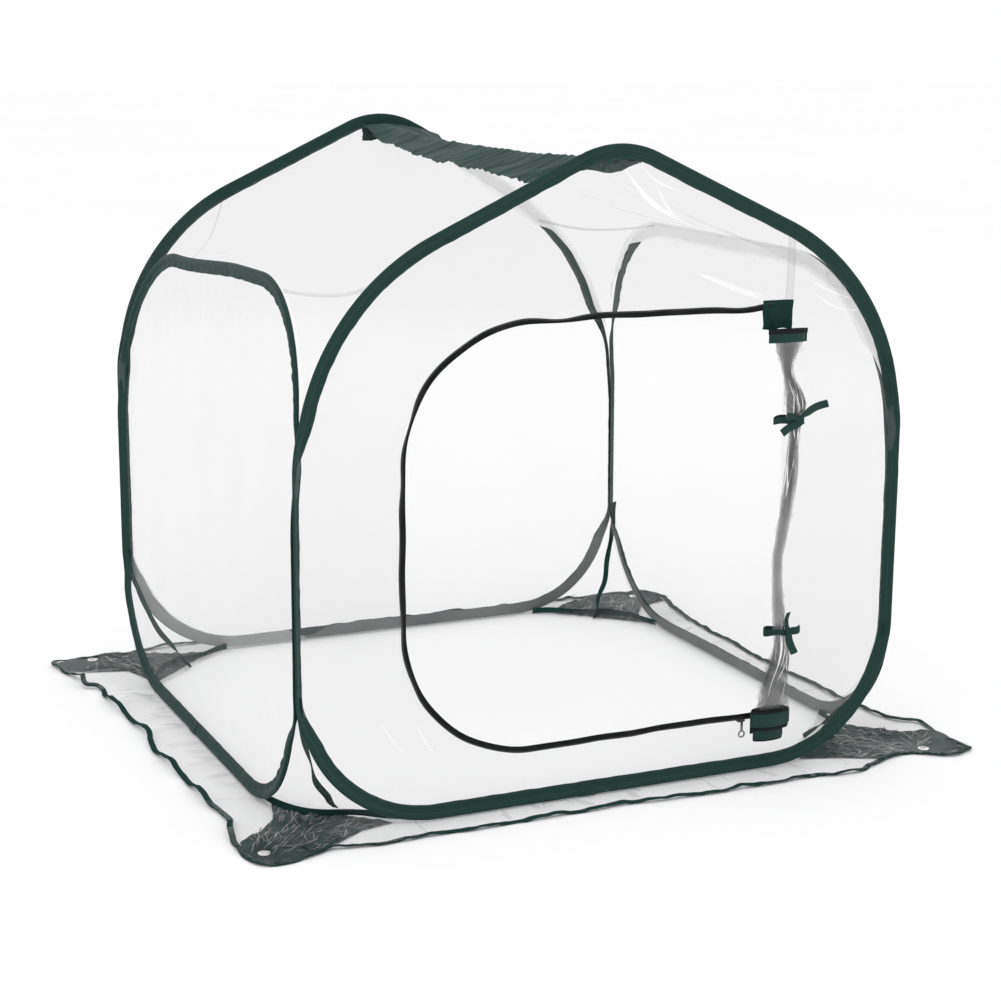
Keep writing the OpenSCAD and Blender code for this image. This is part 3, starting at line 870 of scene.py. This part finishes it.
def door_patch(node, x0, x1, z0, z1, seed):
    """Fabric patch sewn to the film at an end of the door's seam."""
    x, z = np.meshgrid(np.linspace(x0, x1, 12), np.linspace(z0, z1, 9))
    x = x + 0.0012 * waves(seed, 4, 0.02, 0.06)(x, z)
    z = z + 0.0012 * waves(seed + 1, 4, 0.02, 0.06)(x, z)
    out = film_out("front", x, z) + 0.0016 + 0.0008 * waves(seed + 2, 5, 0.01, 0.04)(x, z)
    piece = make(node + "_cloth", slab(place("front", x, z, out), 0.8 * MM), GREEN_DARK,
                 "front", node)


# ---- roof -------------------------------------------------------------------------------

RIDGE = APEX - 0.023
RIDGE_SAG = 0.016
ROOF_IN = 0.018            # the roof's edge on a gable, inwards from the gable's edge
EAVE_IN = 0.002            # the eave, inwards from a side panel's inner face
LIGHTENING_VEIL_WIDTH = 0.0235


def gable_line():
    """The roof's edge on a gable panel, inside its sleeve, from left to right."""
    edge, inward = rim("gable", 0.012)
    edge = edge + inward * ROOF_IN
    top = edge[edge[:, 1] > 0.5]
    return top[np.argsort(top[:, 0])]


GABLE_TOP = gable_line()
SLUMPED_X = GABLE_TOP[:, 0] + slump(*GABLE_TOP.T)


def gable_top(x, slumped=False):
    """Height of the roof's edge on a gable panel at x, slumped as the back's right side is."""
    return np.where(slumped, np.interp(x, SLUMPED_X, GABLE_TOP[:, 1]),
                    np.interp(x, *GABLE_TOP.T))


def side_top(v):
    """Height of a side panel's edge at v from its corner."""
    v = np.minimum(np.asarray(v, float), 2 * HALF_D - v)
    fall = np.clip(SIDE_TOP_R - v, 0, SIDE_TOP_R)
    return SIDE_TOP - 0.004 - SIDE_TOP_R + np.sqrt(SIDE_TOP_R ** 2 - fall ** 2)


# Eave seams: from the corner to the seam's end on the gable and on the side panel
EAVE = {"fl": (0.142, 0.163), "bl": (0.197, 0.31), "fr": (0.100, 0.150), "br": (0.118, 0.230)}
# Corners are named by two letters: front or back, then left or right
SIGN = {"l": -1, "r": 1, "f": -1, "b": 1}
PANEL = {"l": "left", "r": "right", "f": "front", "b": "back"}
SLUMPED_CORNER = "br"      # where the back panel's shoulder is pulled in


def seam_line(corner, n=24):
    """Eave seam of a corner, from the gable to the side panel, hanging slightly."""
    on_gable, on_side = EAVE[corner]
    sx, sy = SIGN[corner[1]], SIGN[corner[0]]
    top = float(gable_top(HALF_W - on_gable))
    start = np.array([HALF_W - on_gable, HALF_D, top])
    if corner == SLUMPED_CORNER:
        start[0] += slump(start[0], top)
    end_z = side_top(on_side)
    sunk = sink(PANEL[corner[1]], sy * (HALF_D - on_side), end_z)
    end = np.array([HALF_W - EAVE_IN - lean(end_z), HALF_D - on_side, end_z + sunk])
    t = np.linspace(0, 1, n)
    line = start + (end - start) * t[:, None]
    line[:, 2] -= 0.012 * np.sin(math.pi * t)
    line[:, 0] -= 0.006 * np.sin(math.pi * t)
    return line * (sx, sy, 1)


def eave(side):
    """The roof's lower edge on one side, from front to back, as points."""
    s = side[0]
    front, back = seam_line("f" + s), seam_line("b" + s)[::-1]
    y = np.linspace(front[-1, 1], back[0, 1], 60)[1:-1]
    z = side_top(HALF_D - np.abs(y))
    x = SIGN[s] * (HALF_W - EAVE_IN - lean(z))
    return np.vstack([front, np.stack([x, y, z + sink(side, y, z)], 1), back])


EAVES = {side: eave(side) for side in ("left", "right")}
SLACK = waves(71, 9, 0.10, 0.45)


def roof_point(side, s, y):
    """Point of a roof slope: s from the ridge to the eave, y along the ridge."""
    line = EAVES[side]
    far_x, far_z = np.interp(y, line[:, 1], line[:, 0]), np.interp(y, line[:, 1], line[:, 2])
    near_z = RIDGE - RIDGE_SAG * (1 - np.abs(y / HALF_D) ** 3)
    x = s * far_x
    z = near_z + s * (far_z - near_z)
    end = np.where(y < 0, line[0, 0], line[-1, 0])
    slumped = (y > 0) & (side == "right")
    straight = RIDGE + (x / end) * (gable_top(end, slumped) - RIDGE)
    arch = gable_top(x, slumped) - 0.003 - straight
    # the ends follow the gables' arch, but the eave itself stays on its own line
    z = z + arch * np.clip(np.abs(y) / HALF_D, 0, 1) ** 5 * (s < 1)
    calm = smooth(s / 0.08) * smooth((1 - s) / 0.10) * smooth((HALF_D - np.abs(y)) / 0.06)
    fan = np.sin(30 * np.arctan2(y + HALF_D, np.abs(x) + 0.05) + 2)
    z = z + calm * (0.0035 * SLACK(x, y) + 0.0012 * fan) - 0.010 * calm * np.sin(math.pi * s)
    return np.stack([x, y, z], -1)


def right_hem(a, h):
    """Along the right panel's top, from its back corner down to the front seam."""
    return (h > 0.60) & ((a < -0.3) | (h > 0.62))


def right_hem_width(a, h):
    return 0.013 + 0.017 * smooth((0.38 - a) / 0.08)


def roof(side):
    """A roof slope in two sheets: one goes with the ridge, one with the side panel."""
    y = np.linspace(-HALF_D + 0.0006, HALF_D - 0.0006, 110)
    sx = SIGN[side[0]]
    pieces = []
    for part, low, high in (("upper", 0.0, 0.5), ("lower", 0.5, 1.0)):
        s, v = np.meshgrid(np.linspace(low, high, 22), y, indexing="ij")
        grid = roof_point(side, s, v)
        if sx > 0:
            grid = grid[:, ::-1]
        piece = make(f"roof_{side}_{part}", sheet_grid(grid), OVERHEAD,
                     "ridge" if part == "upper" else side, f"roof_film_{side}")
        extra = []
        # the right roof hem is pale film, its colour partly painted glare
        if side == "right" and part == "lower":
            extra = [hem("right", "roof_hem_right", right_hem, right_hem_width, PALE_HEM_AND_GLINT)]
        pieces.append(piece)
    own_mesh(pieces[0])
    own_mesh(pieces[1])


# Roof hems, whose pale colour is partly painted glare, and veils, pale sheets of painted
# lightening, inside a panel's sleeve: name, where they run, their width and their look
HEMS = {
    "back": [("roof_hem_back", lambda a, h: (a < -0.15) & (h > 0.56),
              lambda a, h: 0.012 + 0.022 * smooth((h - 0.76) / 0.04), PALE_HEM_AND_GLINT),
             ("foot_lightening_veil_back", lambda a, h: (a > 0.16) & (h < 0.27),
              lambda a, h: LIGHTENING_VEIL_WIDTH, LIGHTENING_VEIL),
             ("foot_thin_lightening_veil_back", lambda a, h: (a < 0.165) & (h < 0.30),
              lambda a, h: LIGHTENING_VEIL_WIDTH, THIN_LIGHTENING_VEIL)],
    "right": [("foot_thin_lightening_veil_right", lambda a, h: h < 0.29,
               lambda a, h: LIGHTENING_VEIL_WIDTH, THIN_LIGHTENING_VEIL)]}


def hem(side, name, pick, wide, look):
    """Strip of film inside a panel's sleeve. A roof hem is sewn down there and laps over its edge,
    its pale colour partly painted glare; a veil is a pale sheet of painted lightening over the
    sleeve.
    """
    start = -0.0035 if look is PALE_HEM_AND_GLINT else 0.0015
    edge, inward = rim(KIND[side], 0.010)
    index = marked(pick(*edge.T))
    edge, inward = edge[index], inward[index]
    run = np.linspace(0, 1, len(index))
    width = wide(*edge.T) * (0.25 + 0.75 * smooth(np.minimum(run, 1 - run) / 0.08))
    rows = []
    for d in np.linspace(0, 1, 6):
        a, h = (edge + inward * (start + d * width)[:, None]).T
        wave = 0.0022 * waves(151, 8, 0.03, 0.12)(a + 0.3 * d, h)
        rows.append(place(side, a, h, -0.0035 + wave * d))
    piece = make(name, sheet_grid(np.stack(rows, 1)), look, side)
    flatten(piece, side)
    return piece


def ridge_strip():
    """Fabric folded over the ridge, its ends sewn askew, with a short flap at each gable."""
    y = np.linspace(-HALF_D + 0.002, HALF_D - 0.002, 150)
    across = np.linspace(0, 1, 22)
    t = (y + HALF_D) / (2 * HALF_D)
    left = -0.088 + 0.055 * t + 0.0015 * waves(81, 6, 0.03, 0.12)(y)
    right = 0.035 + 0.080 * t + 0.0015 * waves(82, 6, 0.03, 0.12)(y)
    x = left[:, None] + (right - left)[:, None] * across
    v = np.broadcast_to(y[:, None], x.shape)
    z = np.where(x < 0, roof_point("left", np.clip(-x / HALF_W, 0, 1), v)[..., 2],
                 roof_point("right", np.clip(x / HALF_W, 0, 1), v)[..., 2])
    crest = np.exp(-(x / 0.012) ** 2) * 0.0035
    heading = math.radians(62)
    fold = waves(83, 7, 0.018, 0.05, heading, 0.5)(x, v)
    calm = smooth((HALF_D - np.abs(v)) / 0.03)
    z = z + 0.0030 + crest * calm + 0.0014 * fold * calm
    top = np.stack([x, v, z], -1)
    shape = 0.55 + 0.45 * np.sin(math.pi * across) + 0.25 * waves(84, 4, 0.2, 0.8)(across)
    flaps = []
    for end, sign in ((0, -1), (-1, 1)):
        edge_x, edge_z = top[end, :, 0], top[end, :, 2]
        flap = []
        for k in range(1, 9):
            drop = (0.0026 if sign < 0 else 0.0045) * k
            wave = 0.0045 * waves(85 + k // 2, 4, 0.010, 0.03)(edge_x) - 0.004
            flap_y = np.full(22, sign * (HALF_D - 0.003)) - sign * (0.001 * k + wave)
            flap.append(np.stack([edge_x * (1 + 0.012 * k), flap_y, edge_z - drop * shape], -1))
        flaps.append(np.stack(flap))
    grid = np.concatenate([flaps[0][::-1], top, flaps[1]])
    piece = make("ridge_strip_cloth", slab(grid, 1.0 * MM), GREEN_LIGHT, "ridge", "ridge_strip")
    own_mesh(piece)


# ---- corners ----------------------------------------------------------------------------

CORNERS = ("fl", "fr", "bl", "br")
OPEN_CORNER = "br"         # the open pivot of the four panels' loop
DIAGONAL = 0.7071          # step in X and in Y for a step of one across a corner's bisector
GUSSET_KEEP = 0.04         # share of a gusset's depth meant to be left when it is folded; hinge only checks that it is given


def corner_point(corner, u, v, z):
    """World points from distances inwards from a corner: u along X, v along Y."""
    sx, sy = SIGN[corner[1]], SIGN[corner[0]]
    u, v, z = np.broadcast_arrays(u, v, z)
    return np.stack([sx * (HALF_W - u), sy * (HALF_D - v), z], -1)


def hinge(pieces, corner, near, far, keep=None):
    """Bakes a corner's pieces in place. near and far: where they start and end to turn,
    from the corner's bisector towards the side panel; not used. At the open pivot the pieces
    ride with the back panel instead, each with its own mesh when keep is given."""
    start, stop = (corner_point(corner, -d * DIAGONAL, d * DIAGONAL, 0.0).tolist()
                   for d in (near, far))
    for piece in pieces:
        if corner != OPEN_CORNER:
            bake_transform(piece)
            continue
        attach(piece, "back")
        if keep:
            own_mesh(piece)


def gap_at(h, kind):
    """How far a panel's edge is from the corner at height h."""
    edge = RIM[kind]
    half = edge[:, 0].max()
    right = edge[edge[:, 0] > 0.12]
    order = np.argsort(right[:, 1])
    return half - np.interp(h, right[order, 1], right[order, 0])


def corner_band(corner, path, across, width, offsets):
    """Ribbon along a path given, like its across directions, inwards from a corner."""
    world = corner_point(corner, *path.T)
    aim = corner_point(corner, *(path + across * 0.01).T) - world
    return band(world, unit(aim), width, 0.8 * MM, offsets)


def foot_gusset(corner, seed):
    """Film across the foot of a corner, with a tape up it and one on the ground before it."""
    h = np.concatenate([np.linspace(0.178, 0.03, 20), [0.022, 0.015, 0.009, 0.005, 0.003]])
    reach = np.minimum(gap_at(h, "gable") + 0.004, 0.186)
    t = np.linspace(0, 1, 22)
    u = reach[:, None] * (1 - t) + 0.002
    v = reach[:, None] * t + 0.002
    belly = np.sin(math.pi * t) * smooth(reach[:, None] / 0.15)
    push = belly * (0.010 + 0.006 * waves(seed, 6, 0.03, 0.12)(h[:, None], t * 0.15))
    z = h[:, None] + 0 * t
    grid = corner_point(corner, u - push * 0.7, v - push * 0.7, z)
    node = f"foot_gusset_{corner}"
    piece = make(node + "_film", sheet_grid(grid), CLEAR, node=node)

    # seam tape up the middle, twisting, and a second tape standing on the ground below it
    path = curve([(0.003, 0.003, 0.212), (0.008, 0.008, 0.176), (0.016, 0.015, 0.140),
                  (0.030, 0.026, 0.100), (0.046, 0.048, 0.062), (0.066, 0.062, 0.036),
                  (0.082, 0.086, 0.012), (0.090, 0.092, 0.0035)], 0.005)
    s = np.linspace(0, 1, len(path))
    twist = 0.7 * np.sin(7 * s + seed) + 0.4 * np.sin(15 * s)
    flat, deep = np.array([-DIAGONAL, DIAGONAL, 0.0]), np.array([0.5, 0.5, 0.7])
    across = np.cos(twist)[:, None] * flat + np.sin(twist)[:, None] * deep
    rising = corner_band(corner, path, across, 0.010, (-0.5, 0, 0.5))
    low = curve([(0.002, 0.184, 0.007), (0.016, 0.122, 0.007), (0.062, 0.070, 0.008),
                 (0.122, 0.040, 0.008), (0.184, 0.006, 0.007)], 0.006)
    s = np.linspace(0, 1, len(low))
    low[:, 2] += 0.0015 * np.sin(14 * s + seed)
    tip = 0.25 * np.sin(9 * s + seed)
    tip = np.stack([tip, tip, np.ones_like(s)], 1)
    lying = corner_band(corner, low, tip, 0.011, (-0.5, -0.1, 0.2, 0.5))
    node = f"gusset_tape_{corner}"
    tape = make(node + "_cloth", joined(rising, lying), GREEN_DARK, node=node)
    hinge((piece, tape), corner, -0.035, 0.035, GUSSET_KEEP)


def top_gusset(corner, seed):
    """Film between a gable's shoulder, a side panel's top corner and the eave seam."""
    on_gable, on_side = EAVE[corner]
    t = np.linspace(0, 1, 26)
    last_z = float(gable_top(HALF_W - on_gable))
    gable = [[HALF_W - gap_at(z, "gable"), z] for z in np.linspace(0.56, last_z, 160)
             if gap_at(z, "gable") <= on_gable + 0.001]
    gable = even(np.vstack(gable + [[HALF_W - on_gable, last_z]]), 0.002)
    side_z = np.linspace(0.56, 0.785, 90)
    side_v = np.array([gap_at(z, "side") for z in side_z])
    keep = side_v <= on_side
    side_v = np.r_[side_v[keep], np.linspace(max(side_v[keep][-1], 0.001), on_side, 12)[1:]]
    side_z = np.r_[side_z[keep], side_top(side_v[-11:])]
    side_line = even(np.stack([side_v, side_z], 1), 0.002)
    a, b = (between(t * (len(line) - 1), np.arange(len(line)), line)
            for line in (gable, side_line))
    first = corner_point(corner, HALF_W - a[:, 0], 0.0, a[:, 1])
    if corner == SLUMPED_CORNER:
        first[:, 0] += slump(first[:, 0], first[:, 2])
    last = corner_point(corner, EAVE_IN + lean(b[:, 1]), b[:, 0], b[:, 1])
    last[:, 2] += sink(PANEL[corner[1]], last[:, 1], last[:, 2])
    s = np.linspace(0, 1, 24)
    grid = first[:, None] + (last - first)[:, None] * s[None, :, None]
    hang = np.sin(math.pi * s)[None, :] * smooth(t)[:, None]
    grid[..., 2] -= 0.012 * hang
    sx, sy = SIGN[corner[1]], SIGN[corner[0]]
    slack = 0.0022 * waves(seed, 6, 0.04, 0.15)(grid[..., 0] - grid[..., 1], grid[..., 2])
    grid[..., 0] -= sx * hang * (0.006 - slack)
    grid[..., 1] -= sy * hang * (0.002 - slack)
    grid[-1] = seam_line(corner)
    node = f"top_gusset_{corner}"
    piece = make(node + "_film", sheet_grid(grid), OVERHEAD, node=node)
    line = seam_line(corner, 40)
    down = unit(np.array([sx * 0.5, sy * 0.5, -0.7]))
    welt = make(f"eave_seam_{corner}",
                band(line, np.tile(down, (len(line), 1)), 0.006, 1.0 * MM), CRINKLED)
    hinge((piece, welt), corner, -0.03, 0.03, GUSSET_KEEP)


# Outer edge of each corner piece, inwards from its corner in mm: from the end of the front
# or back skirt round to the end of the side skirt
EDGE = {
    "fl": [(190, -66), (110, -68), (23, -60), (-25, -78), (-62, -82), (-88, -58), (-96, -10),
           (-90, 46), (-76, 120), (-84, 190)],
    "bl": [(190, -60), (120, -64), (60, -60), (18, -50), (-30, -46), (-84, -48), (-138, -30),
           (-130, 20), (-116, 90), (-112, 134), (-98, 142), (-98, 190)],
    "fr": [(190, -74), (84, -80), (34, -56), (-8, -44), (-40, -52), (-73, -74), (-134, -62),
           (-132, -20), (-133, 30), (-134, 88), (-110, 108), (-90, 190)],
    "br": [(190, -68), (100, -68), (30, -62), (-40, -60), (-98, -54), (-118, -20), (-112, 40),
           (-96, 96), (-86, 190)]}
# Fabric patch of each corner, inwards from its corner in mm
PATCH = {
    "fl": [(150, 8), (96, -4), (24, -52), (-25, -70), (-58, -74), (-80, -53), (-88, -8),
           (-82, 22), (-40, 46), (-8, 92), (8, 150)],
    "bl": [(150, 8), (90, -6), (20, -40), (-60, -42), (-128, -26), (-121, 24), (-88, 42),
           (-20, 62), (-6, 100), (8, 150)],
    "fr": [(150, 8), (84, -16), (30, -44), (-8, -36), (-40, -44), (-74, -66), (-125, -56),
           (-124, -20), (-125, 24), (-78, 50), (-28, 98), (8, 150)],
    "br": [(150, 8), (90, -30), (30, -54), (-60, -52), (-94, -46), (-109, -18), (-104, 22),
           (-40, 46), (-8, 92), (8, 150)]}
CHORD = 0.184              # where a corner piece's straight inner edge meets the panels
SKIRT_END, PIECE_END = 0.176, 0.182       # ends of a skirt and of a corner piece: they overlap


def edge_loop(step=0.005):
    """Outer edge of the whole ground skirt, and the directions outwards from it."""
    def world(corner):
        return [tuple(corner_point(corner, u * MM, v * MM, 0.0)[:2]) for u, v in EDGE[corner]]
    middles = {"front": [(-0.16, -0.543), (0.0, -0.541), (0.16, -0.552)],
               "right": [(0.584, -0.14), (0.579, 0.02), (0.585, 0.16)],
               "back": [(0.16, 0.543), (0.0, 0.545), (-0.16, 0.538)],
               "left": [(-0.592, 0.17), (-0.586, 0.06), (-0.595, -0.04), (-0.587, -0.15)]}
    points = []
    for corner, turn, side in (("fl", -1, "front"), ("fr", 1, "right"), ("br", -1, "back"),
                               ("bl", 1, "left")):
        points += world(corner)[::turn] + middles[side]
    points.append(points[0])
    loop = curve(points, step)[:-1]
    wobble = waves(91, 8, 0.03, 0.12)
    along = unit(np.roll(loop, -1, 0) - np.roll(loop, 1, 0))
    outward = right_of(along)
    return loop + outward * (0.0016 * wobble(loop[:, 0], loop[:, 1]))[:, None], outward


EYELET = {corner: corner_point(corner, *GROMMET, 0.0)[:2] for corner in CORNERS}
LOOP, LOOP_OUT = edge_loop()
RUFFLE = waves(93, 3, 0.11, 0.16, math.radians(90), 0.3)
CRUMPLE = waves(94, 9, 0.035, 0.14)
FINE = waves(95, 9, 0.012, 0.04)


def ground_z(x, y, fine=0.0):
    """Height of the limp skirt and corner film over the ground."""
    beyond = np.maximum(np.maximum(np.abs(x) - HALF_W, np.abs(y) - HALF_D), 0)
    left = smooth((-x - HALF_W) / 0.04) * smooth((HALF_D - np.abs(y)) / 0.1)
    ruffle = (0.5 + 0.5 * np.clip(RUFFLE(x, y), -1, 1)) ** 1.6
    lump = np.clip(0.45 + 0.5 * CRUMPLE(x, y), 0, 1.3)
    z = smooth(beyond / 0.07) * (0.0165 * left * ruffle + (0.0042 - 0.0024 * left) * lump)
    z = z + fine * np.clip(0.5 + 0.5 * FINE(x, y), 0, 1.2)
    reach = np.minimum.reduce([np.hypot(x - p[0], y - p[1]) for p in EYELET.values()])
    return z * smooth((reach - 0.010) / 0.02)


def skirt(side):
    """Clear skirt along one panel, between the corner pieces, with its binding and grey slivers of
    painted shade along its wrinkles.
    """
    along, out = (0, 1) if side in ("front", "back") else (1, 0)
    limit = (HALF_W, HALF_D)[along] - SKIRT_END
    base = (HALF_D, HALF_W)[along]
    sign = -1 if side in ("front", "left") else 1
    here = (sign * LOOP[:, out] > base) & (np.abs(LOOP[:, along]) < limit)
    index = marked(here)
    edge = LOOP[index]
    foot = edge.copy()
    foot[:, out] = sign * (base + 0.0005)
    t = np.linspace(0, 1, 10)[None, :, None]
    flat = foot[:, None] + t * (edge - foot)[:, None]
    z = 0.0012 + ground_z(flat[..., 0], flat[..., 1])
    grid = np.concatenate([flat, z[..., None]], -1)
    piece = make(f"{side}_skirt_film", sheet_grid(grid), SKIRT, side, f"{side}_skirt")
    rng = np.random.default_rng(160 + len(side))
    # grey slivers along the skirt's wrinkles: painted shade
    paths = []
    for _ in range(26 if side == "left" else 12):
        k = rng.integers(4, len(grid) - 12)
        row = np.clip(np.round(k + np.linspace(0, rng.uniform(-5, 5), 8)), 0, len(grid) - 1)
        path = even(grid[row.astype(int), np.arange(1, 9)] + (0, 0, 0.0008), 0.006)
        path = path[:max(4, int(len(path) * rng.uniform(0.4, 1.0)))]
        aim = unit(np.gradient(path, axis=0))
        paths.append((path, np.stack([-aim[:, 1], aim[:, 0], 0 * aim[:, 0]], 1),
                      rng.uniform(0.004, 0.016)))
    folds = creases(f"{side}_skirt_fold_shade", paths, FOLD_SHADE, side)
    trim = make(f"{side}_skirt_binding", binding(index), GREEN_DARK, side, f"{side}_binding")


def binding(index):
    """Fabric folded over the skirt's outer edge along a stretch of the loop."""
    edge, outward = LOOP[index], LOOP_OUT[index]
    grid = []
    for d in (-0.009, -0.006, -0.003, 0.0):
        spot = edge + outward * d
        z = 0.0014 + ground_z(*spot.T) + 0.0006 * FINE(*(spot * 0.8).T)
        grid.append(np.concatenate([spot, np.maximum(z, 0.0010)[:, None]], 1))
    return slab(np.stack(grid, 1), 1.6 * MM)


def fill(border, corner, spacing, seed):
    """Flat triangulated region inside a border, with an eyelet hole at the grommet."""
    centre = EYELET[corner]
    rings = [centre + r * np.stack([np.cos(t), np.sin(t)], 1)
             for r, n in ((0.0056, 16), (0.0100, 18), (0.0150, 20))
             for t in [np.linspace(0, 2 * math.pi, n, endpoint=False)]]
    low, high = border.min(0), border.max(0)
    rng = np.random.default_rng(seed)
    x, y = np.meshgrid(np.arange(low[0], high[0], spacing), np.arange(low[1], high[1], spacing))
    dots = np.stack([x.ravel(), y.ravel()], 1)
    dots += rng.uniform(-0.3, 0.3, dots.shape) * spacing
    clear = np.linalg.norm(dots - centre, axis=1) > 0.018
    near = np.min(np.linalg.norm(dots[:, None] - border[None], axis=2), axis=1)
    dots = dots[clear & (near > spacing * 0.5)]
    points = np.vstack([border] + rings + [dots])
    edges = [(i, (i + 1) % len(border)) for i in range(len(border))]
    got = delaunay_2d_cdt([Vector(p) for p in points], edges, [], 1, 1e-6)
    flat = np.array([tuple(p) for p in got[0]])
    faces = []
    for face in got[2]:
        middle = flat[list(face)].mean(0)
        if np.linalg.norm(middle - centre) > 0.0054:
            faces.append(list(face))
    used, faces = np.unique(faces, return_inverse=True)
    return flat[used], faces.reshape(-1, 3).tolist()


def corner_pieces(corner, seed):
    """Crumpled fabric patch, clear film over it and the binding round them, with slivers of
    painted shade and painted glints on the film's crinkles.
    """
    sx, sy = SIGN[corner[1]], SIGN[corner[0]]
    in_u, in_v = HALF_W - sx * LOOP[:, 0], HALF_D - sy * LOOP[:, 1]
    here = (in_u < PIECE_END) & (in_v < PIECE_END) & ((in_u < -0.001) | (in_v < -0.001))
    index = marked(here)
    edge = LOOP[index]
    if abs(edge[0, 0]) > HALF_W:
        edge = edge[::-1]
    closing = np.array([corner_point(corner, u, v, 0.0)[:2]
                        for u, v in ((0.001, CHORD - 0.002), (CHORD - 0.002, 0.001))])
    border = np.vstack([edge[::2], even(closing, 0.012)])
    if sx * sy < 0:
        border = border[::-1]

    flat, faces = fill(border, corner, 0.007, seed)
    z = 0.0009 + ground_z(*flat.T, fine=0.0042)
    film_piece = make(f"corner_film_{corner}", (np.c_[flat, z], faces), CRINKLED)
    shape = np.array([corner_point(corner, u * MM, v * MM, 0.0)[:2] for u, v in PATCH[corner]])
    shape = even(np.vstack([shape, shape[:1]]), 0.008)[:-1]
    if sx * sy < 0:
        shape = shape[::-1]
    flat, faces = fill(shape, corner, 0.006, seed + 1)
    z = 0.0005 + 0.82 * ground_z(*flat.T, fine=0.0036)
    node = f"corner_patch_{corner}"
    cloth = make(node + "_cloth", (np.c_[flat, z], faces), GREEN_DARK, node=node)
    node = f"corner_binding_{corner}"
    trim = make(node + "_cloth", binding(index), GREEN_DARK, node=node)
    rng = np.random.default_rng(seed + 7)
    inner = flat[np.linalg.norm(flat - shape.mean(0), axis=1)
                 < np.linalg.norm(shape - shape.mean(0), axis=1).mean() * 0.95]
    eyelet = EYELET[corner]
    extra = []
    # dark slivers are painted shade and light ones painted glints on the film's crinkles
    for kind, look, count, widest in (("shaded", SHADED, 46, 6.0), ("pale", GLINT, 130, 2.0)):
        folds = []
        for _ in range(count):
            spot = inner[rng.integers(len(inner))]
            aim = math.atan2(*(spot - eyelet)[::-1]) + rng.normal(0, 0.45)
            long = rng.uniform(0.010, 0.055)
            t = np.linspace(-0.5, 0.5, 13)
            bend = rng.uniform(-0.25, 0.25) * (t ** 2 - 0.25)
            x = spot[0] + long * (t * math.cos(aim) - bend * math.sin(aim))
            y = spot[1] + long * (t * math.sin(aim) + bend * math.cos(aim))
            line = np.stack([x, y], 1)
            off = np.linalg.norm(line[:, None] - flat[None], axis=2).min(1).max()
            if off > 0.0045 or np.linalg.norm(line - eyelet, axis=1).min() < 0.012:
                continue
            path = np.stack([x, y, 0.0018 + ground_z(x, y, fine=0.0042)], 1)
            across = np.tile([-math.sin(aim), math.cos(aim), 0.0], (13, 1))
            folds.append((path, across, rng.uniform(0.25, 1.0) * widest * MM))
        extra.append(creases(f"corner_film_{corner}_{kind}", folds, look, None))
    hinge((film_piece, cloth, trim, *extra), corner, 0.045, 0.115)


# ---- stage ------------------------------------------------------------------------------

def area_light(name, place_at, aim, size, power, size_y=None):
    data = bpy.data.lights.new(name, "AREA")
    data.shape = "RECTANGLE"
    data.size, data.size_y = size, size_y or size
    data.energy = power
    lamp = bpy.data.objects.new(name, data)
    lamp.location = place_at
    way = Vector(aim) - Vector(place_at)
    lamp.rotation_euler = way.to_track_quat("-Z", "Y").to_euler()
    lamp.visible_glossy = lamp.visible_camera = False
    bpy.context.scene.collection.objects.link(lamp)
    return lamp


def stage():
    scene = bpy.context.scene
    world = bpy.data.worlds.new("studio")
    scene.world = world
    world.use_nodes = True
    world.node_tree.nodes["Background"].inputs["Color"].default_value = (1, 1, 1, 1)
    world.node_tree.nodes["Background"].inputs["Strength"].default_value = 1.0
    bpy.ops.mesh.primitive_plane_add(size=60, location=(0, 0, -0.0005))
    floor = bpy.context.object
    floor.name = "floor"
    look = Look("floor_look", Roughness=0.9, Specular_IOR_Level=0.1)
    look.colour(look.noise(0.4), [(0.3, (0.983,) * 3), (0.7, (0.995,) * 3)])
    floor.data.materials.append(look.material)
    area_light("key_light", (-2.4, -2.6, 3.6), (0, 0, 0.4), 2.0, 22)
    for spot, long in (((1.6, 4.6, 1.9), 2.6), ((3.6, 2.6, 2.6), 2.0), ((-0.6, 4.8, 3.2), 2.0)):
        lamp = area_light("strip_light", spot, (0.1, 0.0, 0.2), long, 3.2, 0.04)
        lamp.visible_glossy = True
    scene.view_settings.view_transform = "Standard"
    scene.cycles.transparent_max_bounces = 64


# ---- build ------------------------------------------------------------------------------

add_camera()
stage()
for number, panel in enumerate(("front", "left", "right", "back")):
    sleeve(panel, 100 + number)
    skirt(panel)
    if panel != "front":
        wall(panel)
    hoop(panel)
front_wall()
zipper()
rolled_door()
wound("door_end_top", 284, 34, 11.8,
      [(682.5, 697, "green", 1.0), (696, 703, "black", 1.03), (686, 700, "black", 0.93)], 4, 3)
wound("door_end_bottom", 272, 37, 18,
      [(79, 100, "green", 1.0), (56, 74, "green", 0.76), (73, 79.5, "black", 0.96),
       (99, 104, "black", 0.97), (53, 57, "black", 0.74)], 4, 4)
tie("tie_upper", 0.291, 0.563, 0.026,
    [(24, 0.052, 0.013), (214, 0.040, 0.012), (172, 0.030, 0.010)], 1)
tie("tie_lower", 0.282, 0.229, 0.022,
    [(98, 0.030, 0.008), (-70, 0.038, 0.012), (10, 0.018, 0.013)], 2)
door_patch("door_patch_top", 0.249, 0.303, 0.700, 0.744, 51)
door_patch("door_patch_bottom", 0.251, 0.303, 0.060, 0.088, 54)
for panel in ("left", "right"):
    roof(panel)
ridge_strip()
for number, name in enumerate(CORNERS):
    foot_gusset(name, 200 + number)
    top_gusset(name, 220 + number)
    corner_pieces(name, 240 + 2 * number)

# Looks of the CAD nodes that are shown as they are, by the endings of their names
NODE_LOOKS = {"ferrule": STEEL, "grommets": PLATED, "slider": ENAMEL,
              "pull": PULL_METAL}
for node, obj in frame["nodes"].items():
    for ending, look in NODE_LOOKS.items():
        if node.endswith(ending):
            obj.data.materials.clear()
            obj.data.materials.append(look)
